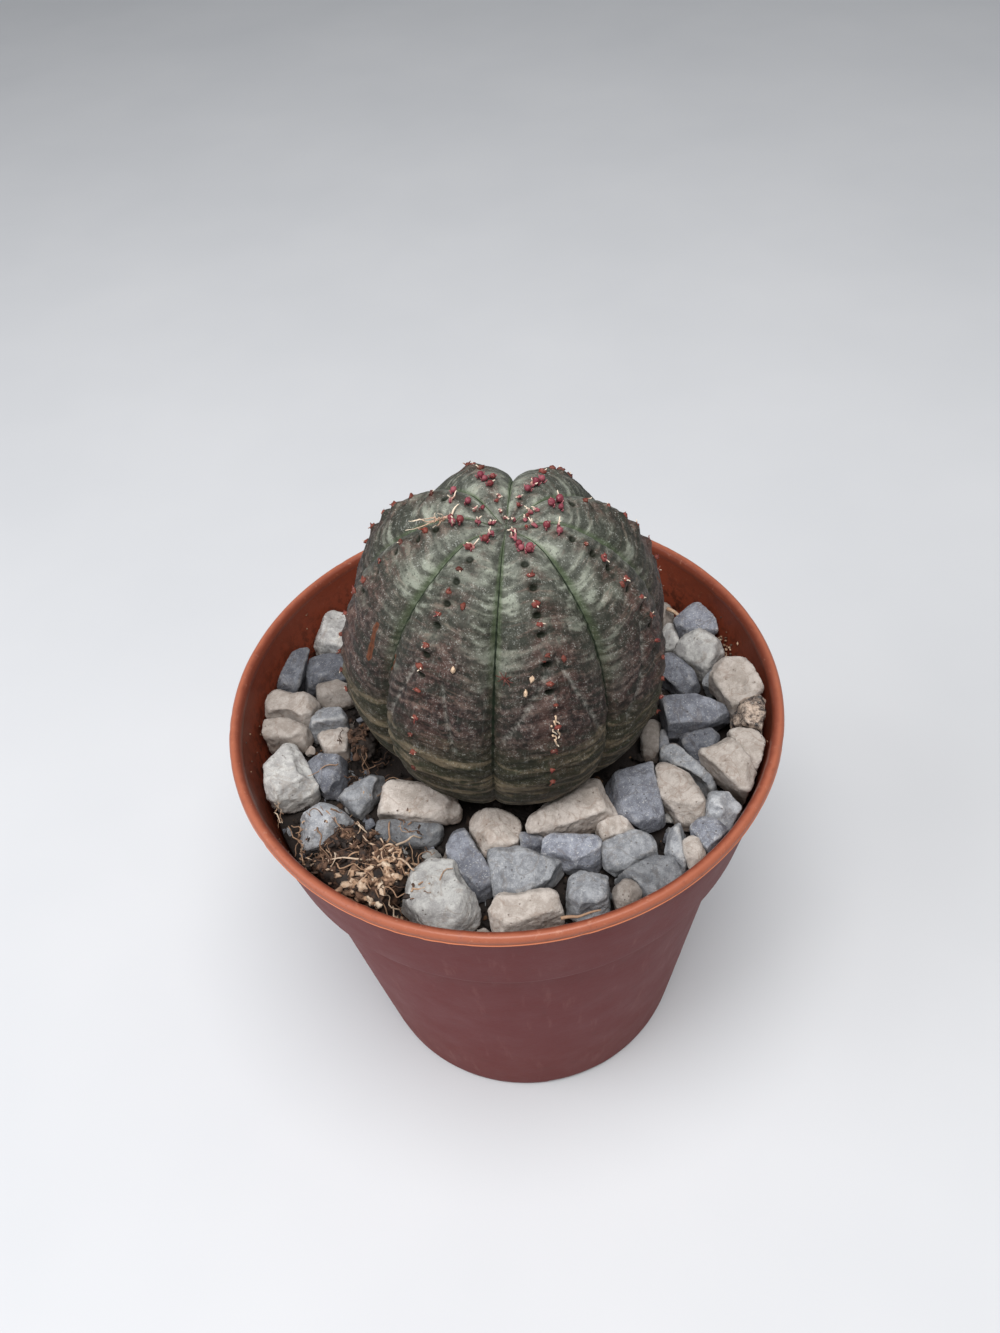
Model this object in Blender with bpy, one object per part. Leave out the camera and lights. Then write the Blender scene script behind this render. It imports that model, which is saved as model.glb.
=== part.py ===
"""A baseball plant in a small plastic nursery pot, dressed with crushed limestone and slate.

The origin is the centre of the pot's base on the surface it stands on, +Z up. Sizes below are in
millimetres; MM turns them into Blender's metres. The pot is turned from one profile, the plant is
one ribbed globe, and every stone is its own convex block, cut back where it meets a neighbour.
"""

import math
from typing import NamedTuple

import bmesh
import bpy
import numpy as np
from mathutils import Matrix, Vector

MM = 0.001
GAP = 0.3  # clearance between pieces that touch

# Pot
POT_HEIGHT = 61.5
LIP_RADIUS = 32.5
WALL_THICKNESS = 0.9
FOOT_RADIUS = 22.0
FOOT_HEIGHT = 1.1
FOOT_WIDTH = 4.5
WALL_FOOT_RADIUS = 22.8
WALL_TOP_RADIUS = 28.4
BAND_BOTTOM = 46.8  # where the wall steps out into the stacking band
BAND_BOTTOM_RADIUS = 30.0
BAND_TOP_RADIUS = 31.95
POT_SEGMENTS = 64
NOTCH_COUNT = 4  # gaps in the foot that let the water out
NOTCH_WIDTH = 8.0
NOTCH_TURN = math.radians(-77)
DRAIN_RADIUS = 1.8
DRAIN_CIRCLE = 14.0

# Potting mix and gravel
GRAVEL_LEVEL = POT_HEIGHT - 2.5  # the stones' tops are given from here
MIX_TOP = GRAVEL_LEVEL - 6.5
GRAVEL_REACH = 29.9  # the gravel's largest distance from the pot's axis, at REACH_HEIGHT
REACH_HEIGHT = GRAVEL_LEVEL - 2.0

# Plant
PLANT_CENTRE = (0.8, -0.1, 70.4)
PLANT_LEAN = math.radians(3.6)  # towards +X
PLANT_RADIUS = 18.1
PLANT_HALF_HEIGHT = 18.5
UNDERSIDE = 0.96  # the lower half's height as a share of the upper half's
SHOULDER = 0.79  # below 1, the globe's shoulders are fuller than an ellipse's
CROWN_DIMPLE = 1.0
CROWN_DIMPLE_RADIUS = 3.2
RIBS = 8
GROOVE_TURN = math.radians(-98.8)  # the groove that faces the front
TUBERCLES = 13  # along each rib
ROWS_PER_TUBERCLE = 3
BODY_END = math.radians(158)  # where the globe runs into the stem base
STEM_BASE = ((6.8, -17.0), (5.4, -20.0), (4.0, -24.0), (2.0, -27.0))  # radius, height from centre


class Stone(NamedTuple):
    """One piece of gravel: its place in the pot, its size, and how it lies."""

    x: float
    y: float
    top: float  # height of its top above GRAVEL_LEVEL
    long: float
    wide: float
    high: float
    turn: float  # degrees from +X to its long side
    lean: float = 0.0  # degrees about its long side
    dip: float = 0.0  # degrees about its wide side
    taper: float = 0.15  # how much narrower its far end is


# Clockwise around the pot within each kind, from the back left by the front to the back right.
GRAVEL = {
    "slate": (
        Stone(-26.5, 11.5, -1.5, 6.4, 2.8, 6.5, 75, lean=12),
        Stone(-22.6, 12.4, -2.6, 6.0, 5.2, 5.0, -5, dip=8),
        Stone(-21.9, -4.4, -2.5, 5.4, 4.2, 5.5, -82, lean=-6),
        Stone(-5.6, -18.8, -1.5, 7.8, 3.7, 5.0, -78, lean=14, taper=-0.3),
        Stone(1.7, -16.4, -3.5, 3.4, 2.6, 3.0, -15),
        Stone(6.0, -18.9, -2.0, 6.8, 3.6, 4.0, -8, lean=10),
        Stone(14.3, -13.0, -1.4, 7.2, 6.8, 5.0, -80, lean=6, dip=-6),
        Stone(20.8, -20.1, 0.0, 4.2, 3.6, 4.2, 28),
        Stone(19.0, -4.6, -3.6, 3.4, 2.8, 3.5, 88),
        Stone(22.5, -5.9, -2.0, 4.5, 3.5, 4.5, 5, lean=12),
        Stone(22.3, -2.4, 0.0, 8.4, 4.8, 6.0, 3, lean=18, taper=0.35),
        Stone(22.0, 6.1, -3.0, 5.8, 3.4, 4.5, -55, lean=8),
        Stone(26.0, 12.8, -0.4, 5.6, 4.8, 6.0, -45, dip=10),
        Stone(15.2, 21.0, -3.0, 6.8, 5.6, 4.5, -32),
        Stone(-3.6, 25.2, -2.5, 7.0, 5.4, 4.8, 10, lean=-8),
        Stone(-16.0, 20.4, -3.2, 6.2, 5.8, 4.5, 40),
    ),
    "grey_limestone": (
        Stone(-21.9, 3.0, -2.2, 4.6, 4.0, 4.2, -35),
        Stone(-17.8, -8.0, -3.0, 4.8, 4.2, 4.5, -80, lean=10, taper=0.5),
        Stone(-21.6, -12.8, -0.8, 5.4, 5.0, 6.2, -10, lean=14),
        Stone(-12.4, -13.3, -4.2, 7.4, 3.2, 3.0, -15),
        Stone(0.3, -20.9, -1.4, 8.4, 5.2, 5.0, 10, lean=10, taper=0.25),
        Stone(7.2, -25.2, -0.5, 5.2, 4.6, 5.5, 80, lean=-6, dip=10),
        Stone(11.9, -19.6, -2.0, 5.8, 3.8, 4.0, 8, lean=10),
        Stone(14.4, -23.6, 0.0, 6.4, 4.4, 5.8, 40, lean=22, taper=0.4),
        Stone(17.9, -20.6, -0.8, 5.4, 3.4, 5.0, 80, lean=-8),
        Stone(22.8, -17.0, 0.2, 4.2, 4.1, 4.6, -5, lean=6),
        Stone(20.8, -8.8, -2.0, 7.6, 2.9, 4.5, -52, lean=10),
        Stone(26.6, 5.0, -3.0, 3.8, 2.8, 4.0, 85),
        Stone(9.2, 24.0, -2.6, 6.6, 5.6, 4.6, -20, dip=-8),
        Stone(-10.0, 23.6, -3.0, 6.8, 5.4, 4.6, 26),
    ),
    "pale_limestone": (
        Stone(-21.0, 17.4, -1.2, 7.6, 6.0, 6.2, -62, lean=-8),
        Stone(-26.4, -4.4, -1.2, 8.0, 5.6, 5.2, -74, lean=-6, taper=-0.25),
        Stone(-8.8, -23.3, -0.2, 9.4, 7.0, 6.2, -60, dip=-6),
        Stone(25.8, 8.1, -1.2, 6.6, 4.4, 5.2, -56, lean=8),
        Stone(22.3, 12.4, -3.4, 3.6, 2.8, 4.0, 80),
        Stone(2.8, 25.0, -3.0, 6.4, 5.6, 4.4, 70),
    ),
    "cream_limestone": (
        Stone(-21.2, 8.2, -3.0, 4.6, 3.5, 4.0, 8, lean=8),
        Stone(-26.3, 5.0, -1.4, 6.8, 4.4, 4.6, -16, lean=6),
        Stone(-27.2, 2.0, -2.2, 6.0, 3.4, 4.0, -22),
        Stone(-20.9, 0.2, -3.4, 4.4, 3.4, 4.2, -80, taper=0.3),
        Stone(-10.6, -10.6, -2.0, 9.4, 4.7, 4.4, -13, lean=8),
        Stone(-2.3, -14.9, -2.4, 5.4, 4.7, 4.5, 2, lean=12, taper=0.3),
        Stone(0.0, -26.4, -0.5, 7.2, 3.8, 5.0, 4, lean=8),
        Stone(5.8, -14.4, -0.6, 10.0, 5.4, 4.8, 22, lean=6, taper=-0.4),
        Stone(10.9, -25.8, -1.0, 3.0, 2.6, 3.4, 5),
        Stone(11.1, -16.3, -2.4, 4.0, 2.6, 3.0, 10),
        Stone(18.9, -13.2, -1.0, 8.0, 4.0, 5.0, -64, lean=12, taper=0.2),
        Stone(18.8, -21.8, -0.5, 2.8, 2.6, 3.2, 30, taper=0.4),
        Stone(17.5, -3.6, -3.8, 5.0, 2.6, 4.2, 75),
        Stone(24.9, -12.0, 1.0, 7.0, 4.5, 6.0, -68, lean=8),
        Stone(27.5, -9.6, 1.2, 6.2, 3.0, 6.2, -76, lean=8),
        Stone(28.4, -0.2, 2.2, 7.2, 6.4, 7.0, -58, lean=6, taper=-0.2),
        Stone(20.2, 16.6, -3.0, 6.6, 5.4, 4.8, -50, lean=6),
    ),
    "mottled_chert": (
        Stone(29.0, -7.0, 2.8, 5.8, 5.0, 5.4, -40, lean=10),
    ),
}
CLUMPS = {
    "coir_clump": Stone(-17.2, -19.0, -1.8, 12.0, 7.6, 4.6, -40, taper=0.1),
    "peat_clump": Stone(-17.6, -0.6, -3.0, 5.0, 3.4, 3.2, -80),
}


def srgb(red, green, blue):
    """A display colour, 0 to 255 in each channel, as the linear colour a material takes."""
    channels = [value / 255 for value in (red, green, blue)]
    linear = [c / 12.92 if c <= 0.04045 else ((c + 0.055) / 1.055) ** 2.4 for c in channels]
    return (*linear, 1.0)


# Colour, roughness
FINISHES = {
    "pot_plastic": (srgb(150, 78, 56), 0.5),
    "potting_mix": (srgb(46, 32, 24), 0.95),
    "plant_skin": (srgb(104, 112, 88), 0.6),
    "slate": (srgb(112, 118, 130), 0.8),
    "grey_limestone": (srgb(150, 152, 152), 0.85),
    "pale_limestone": (srgb(182, 182, 176), 0.85),
    "cream_limestone": (srgb(208, 196, 178), 0.85),
    "mottled_chert": (srgb(120, 104, 92), 0.8),
    "coir": (srgb(132, 98, 66), 0.95),
}


def material(name):
    """The Principled material of this name, made when it is first asked for."""
    made = bpy.data.materials.get(name)
    if made:
        return made
    colour, roughness = FINISHES[name]
    made = bpy.data.materials.new(name)
    made.use_nodes = True
    shader = made.node_tree.nodes["Principled BSDF"]
    shader.inputs["Base Color"].default_value = colour
    shader.inputs["Roughness"].default_value = roughness
    shader.inputs["Metallic"].default_value = 0.0
    made.diffuse_color = colour
    return made


def add_object(name, bm, finish, sharp_angle):
    """Make one object, in metres, from a bmesh in millimetres."""
    bmesh.ops.scale(bm, vec=(MM, MM, MM), verts=bm.verts)
    bmesh.ops.recalc_face_normals(bm, faces=bm.faces)
    mesh = bpy.data.meshes.new(name)
    bm.to_mesh(mesh)
    bm.free()
    mesh.shade_smooth()
    mesh.set_sharp_from_angle(angle=sharp_angle)
    mesh.materials.append(material(finish))
    made = bpy.data.objects.new(name, mesh)
    bpy.context.scene.collection.objects.link(made)
    return made


def turned(profile, segments):
    """A closed solid turned about Z from a profile of (radius, height) that ends on the axis."""
    bm = bmesh.new()
    verts = [bm.verts.new((radius, 0, height)) for radius, height in profile]
    edges = [bm.edges.new(pair) for pair in zip(verts, verts[1:])]
    bmesh.ops.spin(
        bm,
        geom=verts + edges,
        cent=(0, 0, 0),
        axis=(0, 0, 1),
        angle=math.tau,
        steps=segments,
        use_merge=True,
    )
    bmesh.ops.remove_doubles(bm, verts=bm.verts, dist=0.001)
    return bm


def inner_wall(offset):
    """The pot's inside as (radius, height), moved in towards the mix by an offset."""
    floor = FOOT_HEIGHT + WALL_THICKNESS + offset
    inset = WALL_THICKNESS + offset
    return [
        (WALL_FOOT_RADIUS - inset - 1.0, floor),
        (WALL_FOOT_RADIUS - inset, floor + 1.0),
        (WALL_TOP_RADIUS - inset, BAND_BOTTOM - 0.9 + offset * 0.5),
        (BAND_BOTTOM_RADIUS - inset, BAND_BOTTOM + 0.5 + offset),
        (BAND_TOP_RADIUS - inset, POT_HEIGHT - 1.2),
    ]


def radius_at(profile, height):
    """A profile's radius at a height."""
    heights = [point[1] for point in profile]
    radii = [point[0] for point in profile]
    return float(np.interp(height, heights, radii))


def cutter(name, bm):
    """A hidden tool that cuts another piece."""
    made = add_object(name, bm, "pot_plastic", 0.5)
    made.hide_render = True
    made.display_type = "WIRE"
    made.hide_set(True)
    return made


def cut_by(target, tool):
    """Take a cutter's shape out of a piece."""
    modifier = target.modifiers.new(tool.name, "BOOLEAN")
    modifier.operation = "DIFFERENCE"
    modifier.solver = "EXACT"
    modifier.object = tool


def make_pot():
    """Turn the pot, then cut the foot's notches and the drain holes."""
    foot_inner = FOOT_RADIUS - FOOT_WIDTH
    outside = [
        (0.0, FOOT_HEIGHT),
        (foot_inner - 0.4, FOOT_HEIGHT),
        (foot_inner, 0.0),
        (FOOT_RADIUS, 0.0),
        (WALL_FOOT_RADIUS - 0.1, 0.5),
        (WALL_FOOT_RADIUS + 0.1, 1.5),
        (WALL_TOP_RADIUS, BAND_BOTTOM - 0.6),
        (BAND_BOTTOM_RADIUS - 0.3, BAND_BOTTOM),
        (BAND_BOTTOM_RADIUS, BAND_BOTTOM + 0.6),
        (BAND_TOP_RADIUS, POT_HEIGHT - 1.3),
    ]
    lip = [
        (LIP_RADIUS, POT_HEIGHT - 1.1),
        (LIP_RADIUS, POT_HEIGHT - 0.6),
        (LIP_RADIUS - 0.25, POT_HEIGHT - 0.15),
        (LIP_RADIUS - 0.7, POT_HEIGHT),
        (LIP_RADIUS - 1.15, POT_HEIGHT - 0.15),
        (LIP_RADIUS - 1.4, POT_HEIGHT - 0.6),
    ]
    inside = inner_wall(0.0)[::-1] + [(0.0, FOOT_HEIGHT + WALL_THICKNESS)]
    pot = add_object("pot", turned(outside + lip + inside, POT_SEGMENTS), "pot_plastic", 0.6)

    for index in range(NOTCH_COUNT):
        turn = NOTCH_TURN + index * math.tau / NOTCH_COUNT
        spoke = Matrix.Rotation(turn, 4, "Z")

        slot = bmesh.new()
        bmesh.ops.create_cube(slot, size=1.0)
        bmesh.ops.scale(slot, vec=(FOOT_WIDTH * 2, NOTCH_WIDTH, FOOT_HEIGHT * 2 - 0.1), verts=slot.verts)
        middle = Matrix.Translation((FOOT_RADIUS - FOOT_WIDTH / 2, 0, 0))
        bmesh.ops.transform(slot, matrix=spoke @ middle, verts=slot.verts)
        cut_by(pot, cutter(f"notch_cutter_{index + 1}", slot))

        drill = bmesh.new()
        bmesh.ops.create_cone(
            drill,
            cap_ends=True,
            segments=16,
            radius1=DRAIN_RADIUS,
            radius2=DRAIN_RADIUS,
            depth=WALL_THICKNESS * 4,
        )
        centre = Matrix.Translation((DRAIN_CIRCLE, 0, FOOT_HEIGHT + WALL_THICKNESS / 2))
        bmesh.ops.transform(drill, matrix=spoke @ centre, verts=drill.verts)
        cut_by(pot, cutter(f"drain_cutter_{index + 1}", drill))


def plant_place():
    """Where the plant stands, leaning a little to one side."""
    return Matrix.Translation(PLANT_CENTRE) @ Matrix.Rotation(PLANT_LEAN, 4, "Y")


def globe(polar):
    """The globe's crest radius and height at a polar angle from the crown."""
    radius = PLANT_RADIUS * math.sin(polar) ** SHOULDER
    height = PLANT_HALF_HEIGHT * math.cos(polar)
    if height < 0:
        height *= UNDERSIDE
    return radius, height - CROWN_DIMPLE * math.exp(-((radius / CROWN_DIMPLE_RADIUS) ** 2))


def rib_section(across, polar):
    """How far the skin lies inside the crest, as a share of the radius.

    across runs from -1 at one groove through 0 on the crest to 1 at the next groove.
    """
    side = abs(across)
    depth = 0.025 + 0.085 * math.cos(polar / 2) ** 2
    crease = (0.02 + 0.05 * math.cos(polar / 2) ** 2) * math.exp(-(1 - side) / 0.1)
    return depth * side**2.4 + crease


def plant_rows():
    """Rows of the plant from crown to stem base: crest radius, height, polar angle, relief."""
    steps = TUBERCLES * ROWS_PER_TUBERCLE
    rows = []
    for step in range(1, steps + 1):
        polar = BODY_END * step / steps
        radius, height = globe(polar)
        bump = 0.16 * math.cos(math.tau * step / ROWS_PER_TUBERCLE) * math.sin(polar)
        rows.append((radius, height, polar, bump))
    rows += [(radius, height, math.pi, 0.0) for radius, height in STEM_BASE]
    return rows


def make_plant():
    """The ribbed globe with tubercles along its crests, running down into its stem base."""
    across = (-1.0, -0.9, -0.7, -0.38, 0.0, 0.38, 0.7, 0.9)
    bm = bmesh.new()
    crown = bm.verts.new((0, 0, globe(0.0)[1]))
    rings = []
    for radius, height, polar, bump in plant_rows():
        ring = []
        for rib in range(RIBS):
            for share in across:
                angle = GROOVE_TURN + (rib + (share + 1) / 2) * math.tau / RIBS
                skin = radius * (1 - rib_section(share, polar))
                if share == 0.0:
                    skin += bump
                ring.append(bm.verts.new((skin * math.cos(angle), skin * math.sin(angle), height)))
        rings.append(ring)
    count = len(rings[0])
    for upper, lower in zip(rings, rings[1:]):
        for i in range(count):
            j = (i + 1) % count
            bm.faces.new((upper[i], lower[i], lower[j], upper[j]))
    for i in range(count):
        bm.faces.new((crown, rings[0][i], rings[0][(i + 1) % count]))
    bm.faces.new(rings[-1])
    bmesh.ops.triangulate(bm, faces=bm.faces)
    bmesh.ops.transform(bm, matrix=plant_place(), verts=bm.verts)
    return add_object("baseball_plant", bm, "plant_skin", 0.9)


def make_potting_mix():
    """Fill the pot up to the gravel, with a socket for the plant's base."""
    wall = inner_wall(GAP)
    profile = [(0.0, wall[0][1])] + [point for point in wall if point[1] < MIX_TOP]
    profile += [(radius_at(wall, MIX_TOP), MIX_TOP), (0.0, MIX_TOP)]
    mix = add_object("potting_mix", turned(profile, POT_SEGMENTS), "potting_mix", 0.5)

    body = [(globe(math.radians(angle))) for angle in (110, 125, 140, 150, 158)]
    socket = [(0.0, body[0][1])] + [(radius + GAP, height) for radius, height in body]
    socket += [(radius + GAP * 1.5, height) for radius, height in STEM_BASE]
    socket += [(0.0, STEM_BASE[-1][1] - GAP * 2)]
    tool = turned(socket[::-1], 32)
    bmesh.ops.transform(tool, matrix=plant_place(), verts=tool.verts)
    cut_by(mix, cutter("plant_socket_cutter", tool))


def hull(points):
    """The convex solid around some points, as a bmesh of triangles."""
    bm = bmesh.new()
    verts = [bm.verts.new(point) for point in points]
    bmesh.ops.remove_doubles(bm, verts=verts, dist=0.2)
    result = bmesh.ops.convex_hull(bm, input=bm.verts)
    inner = {item for item in result["geom_interior"] if isinstance(item, bmesh.types.BMVert)}
    bmesh.ops.delete(bm, geom=list(inner), context="VERTS")
    return bm


def corners(bm):
    """A bmesh's corner points, which frees it."""
    points = np.array([vert.co for vert in bm.verts])
    bm.free()
    return points


def trim(points, direction, reach):
    """Cut a convex solid back to where it reaches along a direction."""
    if (points @ direction).max() <= reach:
        return points
    bm = hull(points)
    bmesh.ops.bisect_plane(
        bm,
        geom=bm.verts[:] + bm.edges[:] + bm.faces[:],
        plane_co=Vector(direction * reach),
        plane_no=Vector(direction),
        clear_outer=True,
    )
    return corners(bm)


def unit(vector):
    """A vector scaled to a length of one."""
    return np.asarray(vector, dtype=float) / np.linalg.norm(vector)


def all_round(count):
    """Directions spread evenly over a sphere."""
    turn = math.pi * (3 - math.sqrt(5))
    heights = [1 - 2 * (i + 0.5) / count for i in range(count)]
    return np.array([
        (math.sqrt(1 - z * z) * math.cos(turn * i), math.sqrt(1 - z * z) * math.sin(turn * i), z)
        for i, z in enumerate(heights)
    ])


def broken_block(stone, rng):
    """A crushed stone's corner points about its own middle: a box with its edges broken off."""
    size = np.array((stone.long, stone.wide, stone.high)) / 2
    signs = np.array([(x, y, z) for x in (-1, 1) for y in (-1, 1) for z in (-1, 1)])
    points = signs * size
    points[:, 1] *= 1 - stone.taper * (points[:, 0] / size[0])
    points = points + rng.uniform(-0.07, 0.07, points.shape) * size
    for axis in range(3):
        others = [index for index in range(3) if index != axis]
        for first in (-1, 1):
            for second in (-1, 1):
                direction = np.zeros(3)
                direction[others[0]] = first * rng.uniform(0.7, 1.3)
                direction[others[1]] = second * rng.uniform(0.7, 1.3)
                direction[axis] = rng.uniform(-0.3, 0.3)
                points = break_edge(points, unit(direction), rng.uniform(0.08, 0.28), stone)
    for sign in signs:
        points = break_edge(points, unit(sign * rng.uniform(0.7, 1.3, 3)), rng.uniform(0.05, 0.2), stone)
    return points


def break_edge(points, direction, share, stone):
    """Break away a share of a stone's smallest size along a direction."""
    smallest = min(stone.long, stone.wide, stone.high)
    return trim(points, direction, (points @ direction).max() - share * smallest)


def lay(points, stone):
    """Turn a stone as it lies and bring its top to its height in the pot."""
    turned_by = (
        Matrix.Rotation(math.radians(stone.turn), 3, "Z")
        @ Matrix.Rotation(math.radians(stone.dip), 3, "Y")
        @ Matrix.Rotation(math.radians(stone.lean), 3, "X")
    )
    placed = points @ np.array(turned_by).T
    return placed + (stone.x, stone.y, GRAVEL_LEVEL + stone.top - placed[:, 2].max())


def keep_in_pot(points):
    """Cut a stone back to the pot's wall and to the top of the mix."""
    middle = points.mean(axis=0)
    heading = math.atan2(middle[1], middle[0])
    slope = (BAND_TOP_RADIUS - BAND_BOTTOM_RADIUS) / (POT_HEIGHT - BAND_BOTTOM)
    for swing in (-0.24, -0.12, 0.0, 0.12, 0.24):
        east, north = math.cos(heading + swing), math.sin(heading + swing)
        outward = unit((east, north, -slope))
        wall = outward @ (GRAVEL_REACH * east, GRAVEL_REACH * north, REACH_HEIGHT)
        points = trim(points, outward, wall)
    return trim(points, np.array((0.0, 0.0, -1.0)), -(MIX_TOP + GAP))


def least_overlap(first, second, directions):
    """The direction in which one solid reaches least far into another, and how far."""
    reach = (first @ directions.T).max(axis=0) - (second @ directions.T).min(axis=0)
    best = int(np.argmin(reach))
    return directions[best], float(reach[best])


def part_pair(first, second, directions):
    """Cut two stones back from each other along the direction where they meet least."""
    direction, depth = least_overlap(first, second, directions)
    if depth <= -GAP:
        return first, second
    middle = (first @ direction).max() - depth / 2
    first = trim(first, direction, middle - GAP / 2)
    second = trim(second, -direction, -(middle + GAP / 2))
    return first, second


def make_gravel(plant):
    """Lay every stone, cut them clear of the plant and of each other, and make them."""
    rng = np.random.default_rng(7)
    directions = all_round(900)
    globe_points = np.array([vert.co for vert in plant.data.vertices]) / MM
    laid = {}
    for kind, stones in GRAVEL.items():
        for index, stone in enumerate(stones):
            laid[f"{kind}_{index + 1:02d}"] = (kind, lay(broken_block(stone, rng), stone))
    for name, clump in CLUMPS.items():
        finish = "coir" if name == "coir_clump" else "potting_mix"
        laid[name] = (finish, lay(broken_block(clump, rng), clump))

    for name, (finish, points) in laid.items():
        points = keep_in_pot(points)
        away, depth = least_overlap(points, globe_points, directions)
        if depth > -GAP:
            points = trim(points, away, (points @ away).max() - depth - GAP)
        laid[name] = (finish, points)

    names = list(laid)
    for i, first in enumerate(names):
        for second in names[i + 1:]:
            parted = part_pair(laid[first][1], laid[second][1], directions)
            laid[first] = (laid[first][0], parted[0])
            laid[second] = (laid[second][0], parted[1])

    for name, (finish, points) in laid.items():
        add_object(name, hull(points), finish, 0.5)


def main():
    """Clear the scene and build the potted plant."""
    for old in list(bpy.data.objects):
        bpy.data.objects.remove(old)
    make_pot()
    make_potting_mix()
    make_gravel(make_plant())


main()
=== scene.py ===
"""The looks of a baseball plant in a plastic nursery pot, dressed with crushed limestone and slate.

Meshes are worked out in millimetres, in the frame's own axes, and MM turns them into metres when a
piece is made. Every finish reads the piece's own coordinates in millimetres, so its grain has a
real size. The pot, the mix, the plant and each stone stand for the CAD node of the same name.
"""

import functools
import math
from typing import NamedTuple

import bmesh
import bpy
import numpy as np
from mathutils import Matrix, Vector, noise
from mathutils.bvhtree import BVHTree


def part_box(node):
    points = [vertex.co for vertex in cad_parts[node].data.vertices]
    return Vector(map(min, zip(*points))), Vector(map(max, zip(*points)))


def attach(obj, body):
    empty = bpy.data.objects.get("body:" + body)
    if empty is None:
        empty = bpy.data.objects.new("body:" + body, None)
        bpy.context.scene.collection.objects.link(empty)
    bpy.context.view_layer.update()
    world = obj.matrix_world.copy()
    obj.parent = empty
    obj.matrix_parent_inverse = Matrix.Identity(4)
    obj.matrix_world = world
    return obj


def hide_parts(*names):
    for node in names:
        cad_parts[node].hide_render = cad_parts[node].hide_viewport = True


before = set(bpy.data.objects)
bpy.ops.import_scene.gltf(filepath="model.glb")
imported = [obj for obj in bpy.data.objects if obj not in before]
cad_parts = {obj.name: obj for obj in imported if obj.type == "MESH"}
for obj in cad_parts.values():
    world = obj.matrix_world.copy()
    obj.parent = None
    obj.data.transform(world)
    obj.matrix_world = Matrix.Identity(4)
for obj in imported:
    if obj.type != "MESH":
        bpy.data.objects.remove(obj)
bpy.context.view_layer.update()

MM = 0.001
pot_low, pot_high = (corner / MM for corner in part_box("pot"))
RIM = pot_high.z
LIP = pot_high.x
MIX_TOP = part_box("potting_mix")[1].z / MM
LEVEL = RIM - 2.5  # the gravel fills the pot to about here

# Pot
WALL = 0.9
FOOT_RADIUS = 22.0
FOOT_HEIGHT = 1.1
FOOT_WIDTH = 4.5
WALL_FOOT = 22.8
WALL_TOP = 28.4
BAND_BOTTOM = 46.8
BAND_BOTTOM_RADIUS = 30.0
BAND_TOP_RADIUS = 31.95
NOTCHES = 4
NOTCH_WIDTH = 8.0
NOTCH_TURN = math.radians(-77)
DRAIN_RADIUS = 1.8
CHIP_ROOM = 0.75  # from a chip's middle to the wall, for each millimetre of its size
DRAIN_CIRCLE = 14.0
POT_SEGMENTS = 256

# Plant
PLANT_CENTRE = (0.8, -0.1, 70.4)
PLANT_LEAN = math.radians(3.6)
PLANT_RADIUS = 18.1
PLANT_HALF_HEIGHT = 18.5
UNDERSIDE = 0.96
SHOULDER = 0.79
CROWN_DIMPLE = 2.1
CROWN_DIMPLE_RADIUS = 4.2
GROOVE_DROP = 1.0  # how much lower the grooves run than the crests around the crown
RIBS = 8
GROOVE_TURN = math.radians(-98.8)
BODY_END = 158.0
STEM_BASE = ((6.8, -17.0), (5.4, -20.0), (4.0, -24.0), (2.0, -27.0))
RIB_COLUMNS = 48
BODY_ROWS = 228

# Ribs are counted anticlockwise from the one to the right of the front groove
TUBERCLE_COUNT = 11
FIRST_TUBERCLE = 14  # degrees from the crown
TUBERCLE_SPACING = 8.6
TUBERCLE_UNEVENNESS = 1.2
CREST_DRIFT = {7: -0.16, 0: -0.1, 1: 0.06, 6: -0.18}  # how far the row wanders off the crest


# ------------------------------------------------------------------------------- finishes

def srgb(red, green, blue):
    """A display colour, 0 to 255 in each channel, as the linear colour a shader takes."""
    channels = [value / 255 for value in (red, green, blue)]
    linear = [c / 12.92 if c <= 0.04045 else ((c + 0.055) / 1.055) ** 2.4 for c in channels]
    return (*linear, 1.0)


class Value:
    """One number that varies over a surface, ready for arithmetic."""

    def __init__(self, finish, socket):
        self.finish = finish
        self.socket = socket

    def maths(self, operation, first, second):
        return self.finish.node("ShaderNodeMath", {"operation": operation}, {0: first, 1: second})

    def __add__(self, other):
        return self.maths("ADD", self, other)

    def __radd__(self, other):
        return self.maths("ADD", other, self)

    def __sub__(self, other):
        return self.maths("SUBTRACT", self, other)

    def __rsub__(self, other):
        return self.maths("SUBTRACT", other, self)

    def __mul__(self, other):
        return self.maths("MULTIPLY", self, other)

    def __rmul__(self, other):
        return self.maths("MULTIPLY", other, self)

    def __truediv__(self, other):
        return self.maths("DIVIDE", self, other)

    def __pow__(self, other):
        return self.maths("POWER", self, other)


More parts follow.
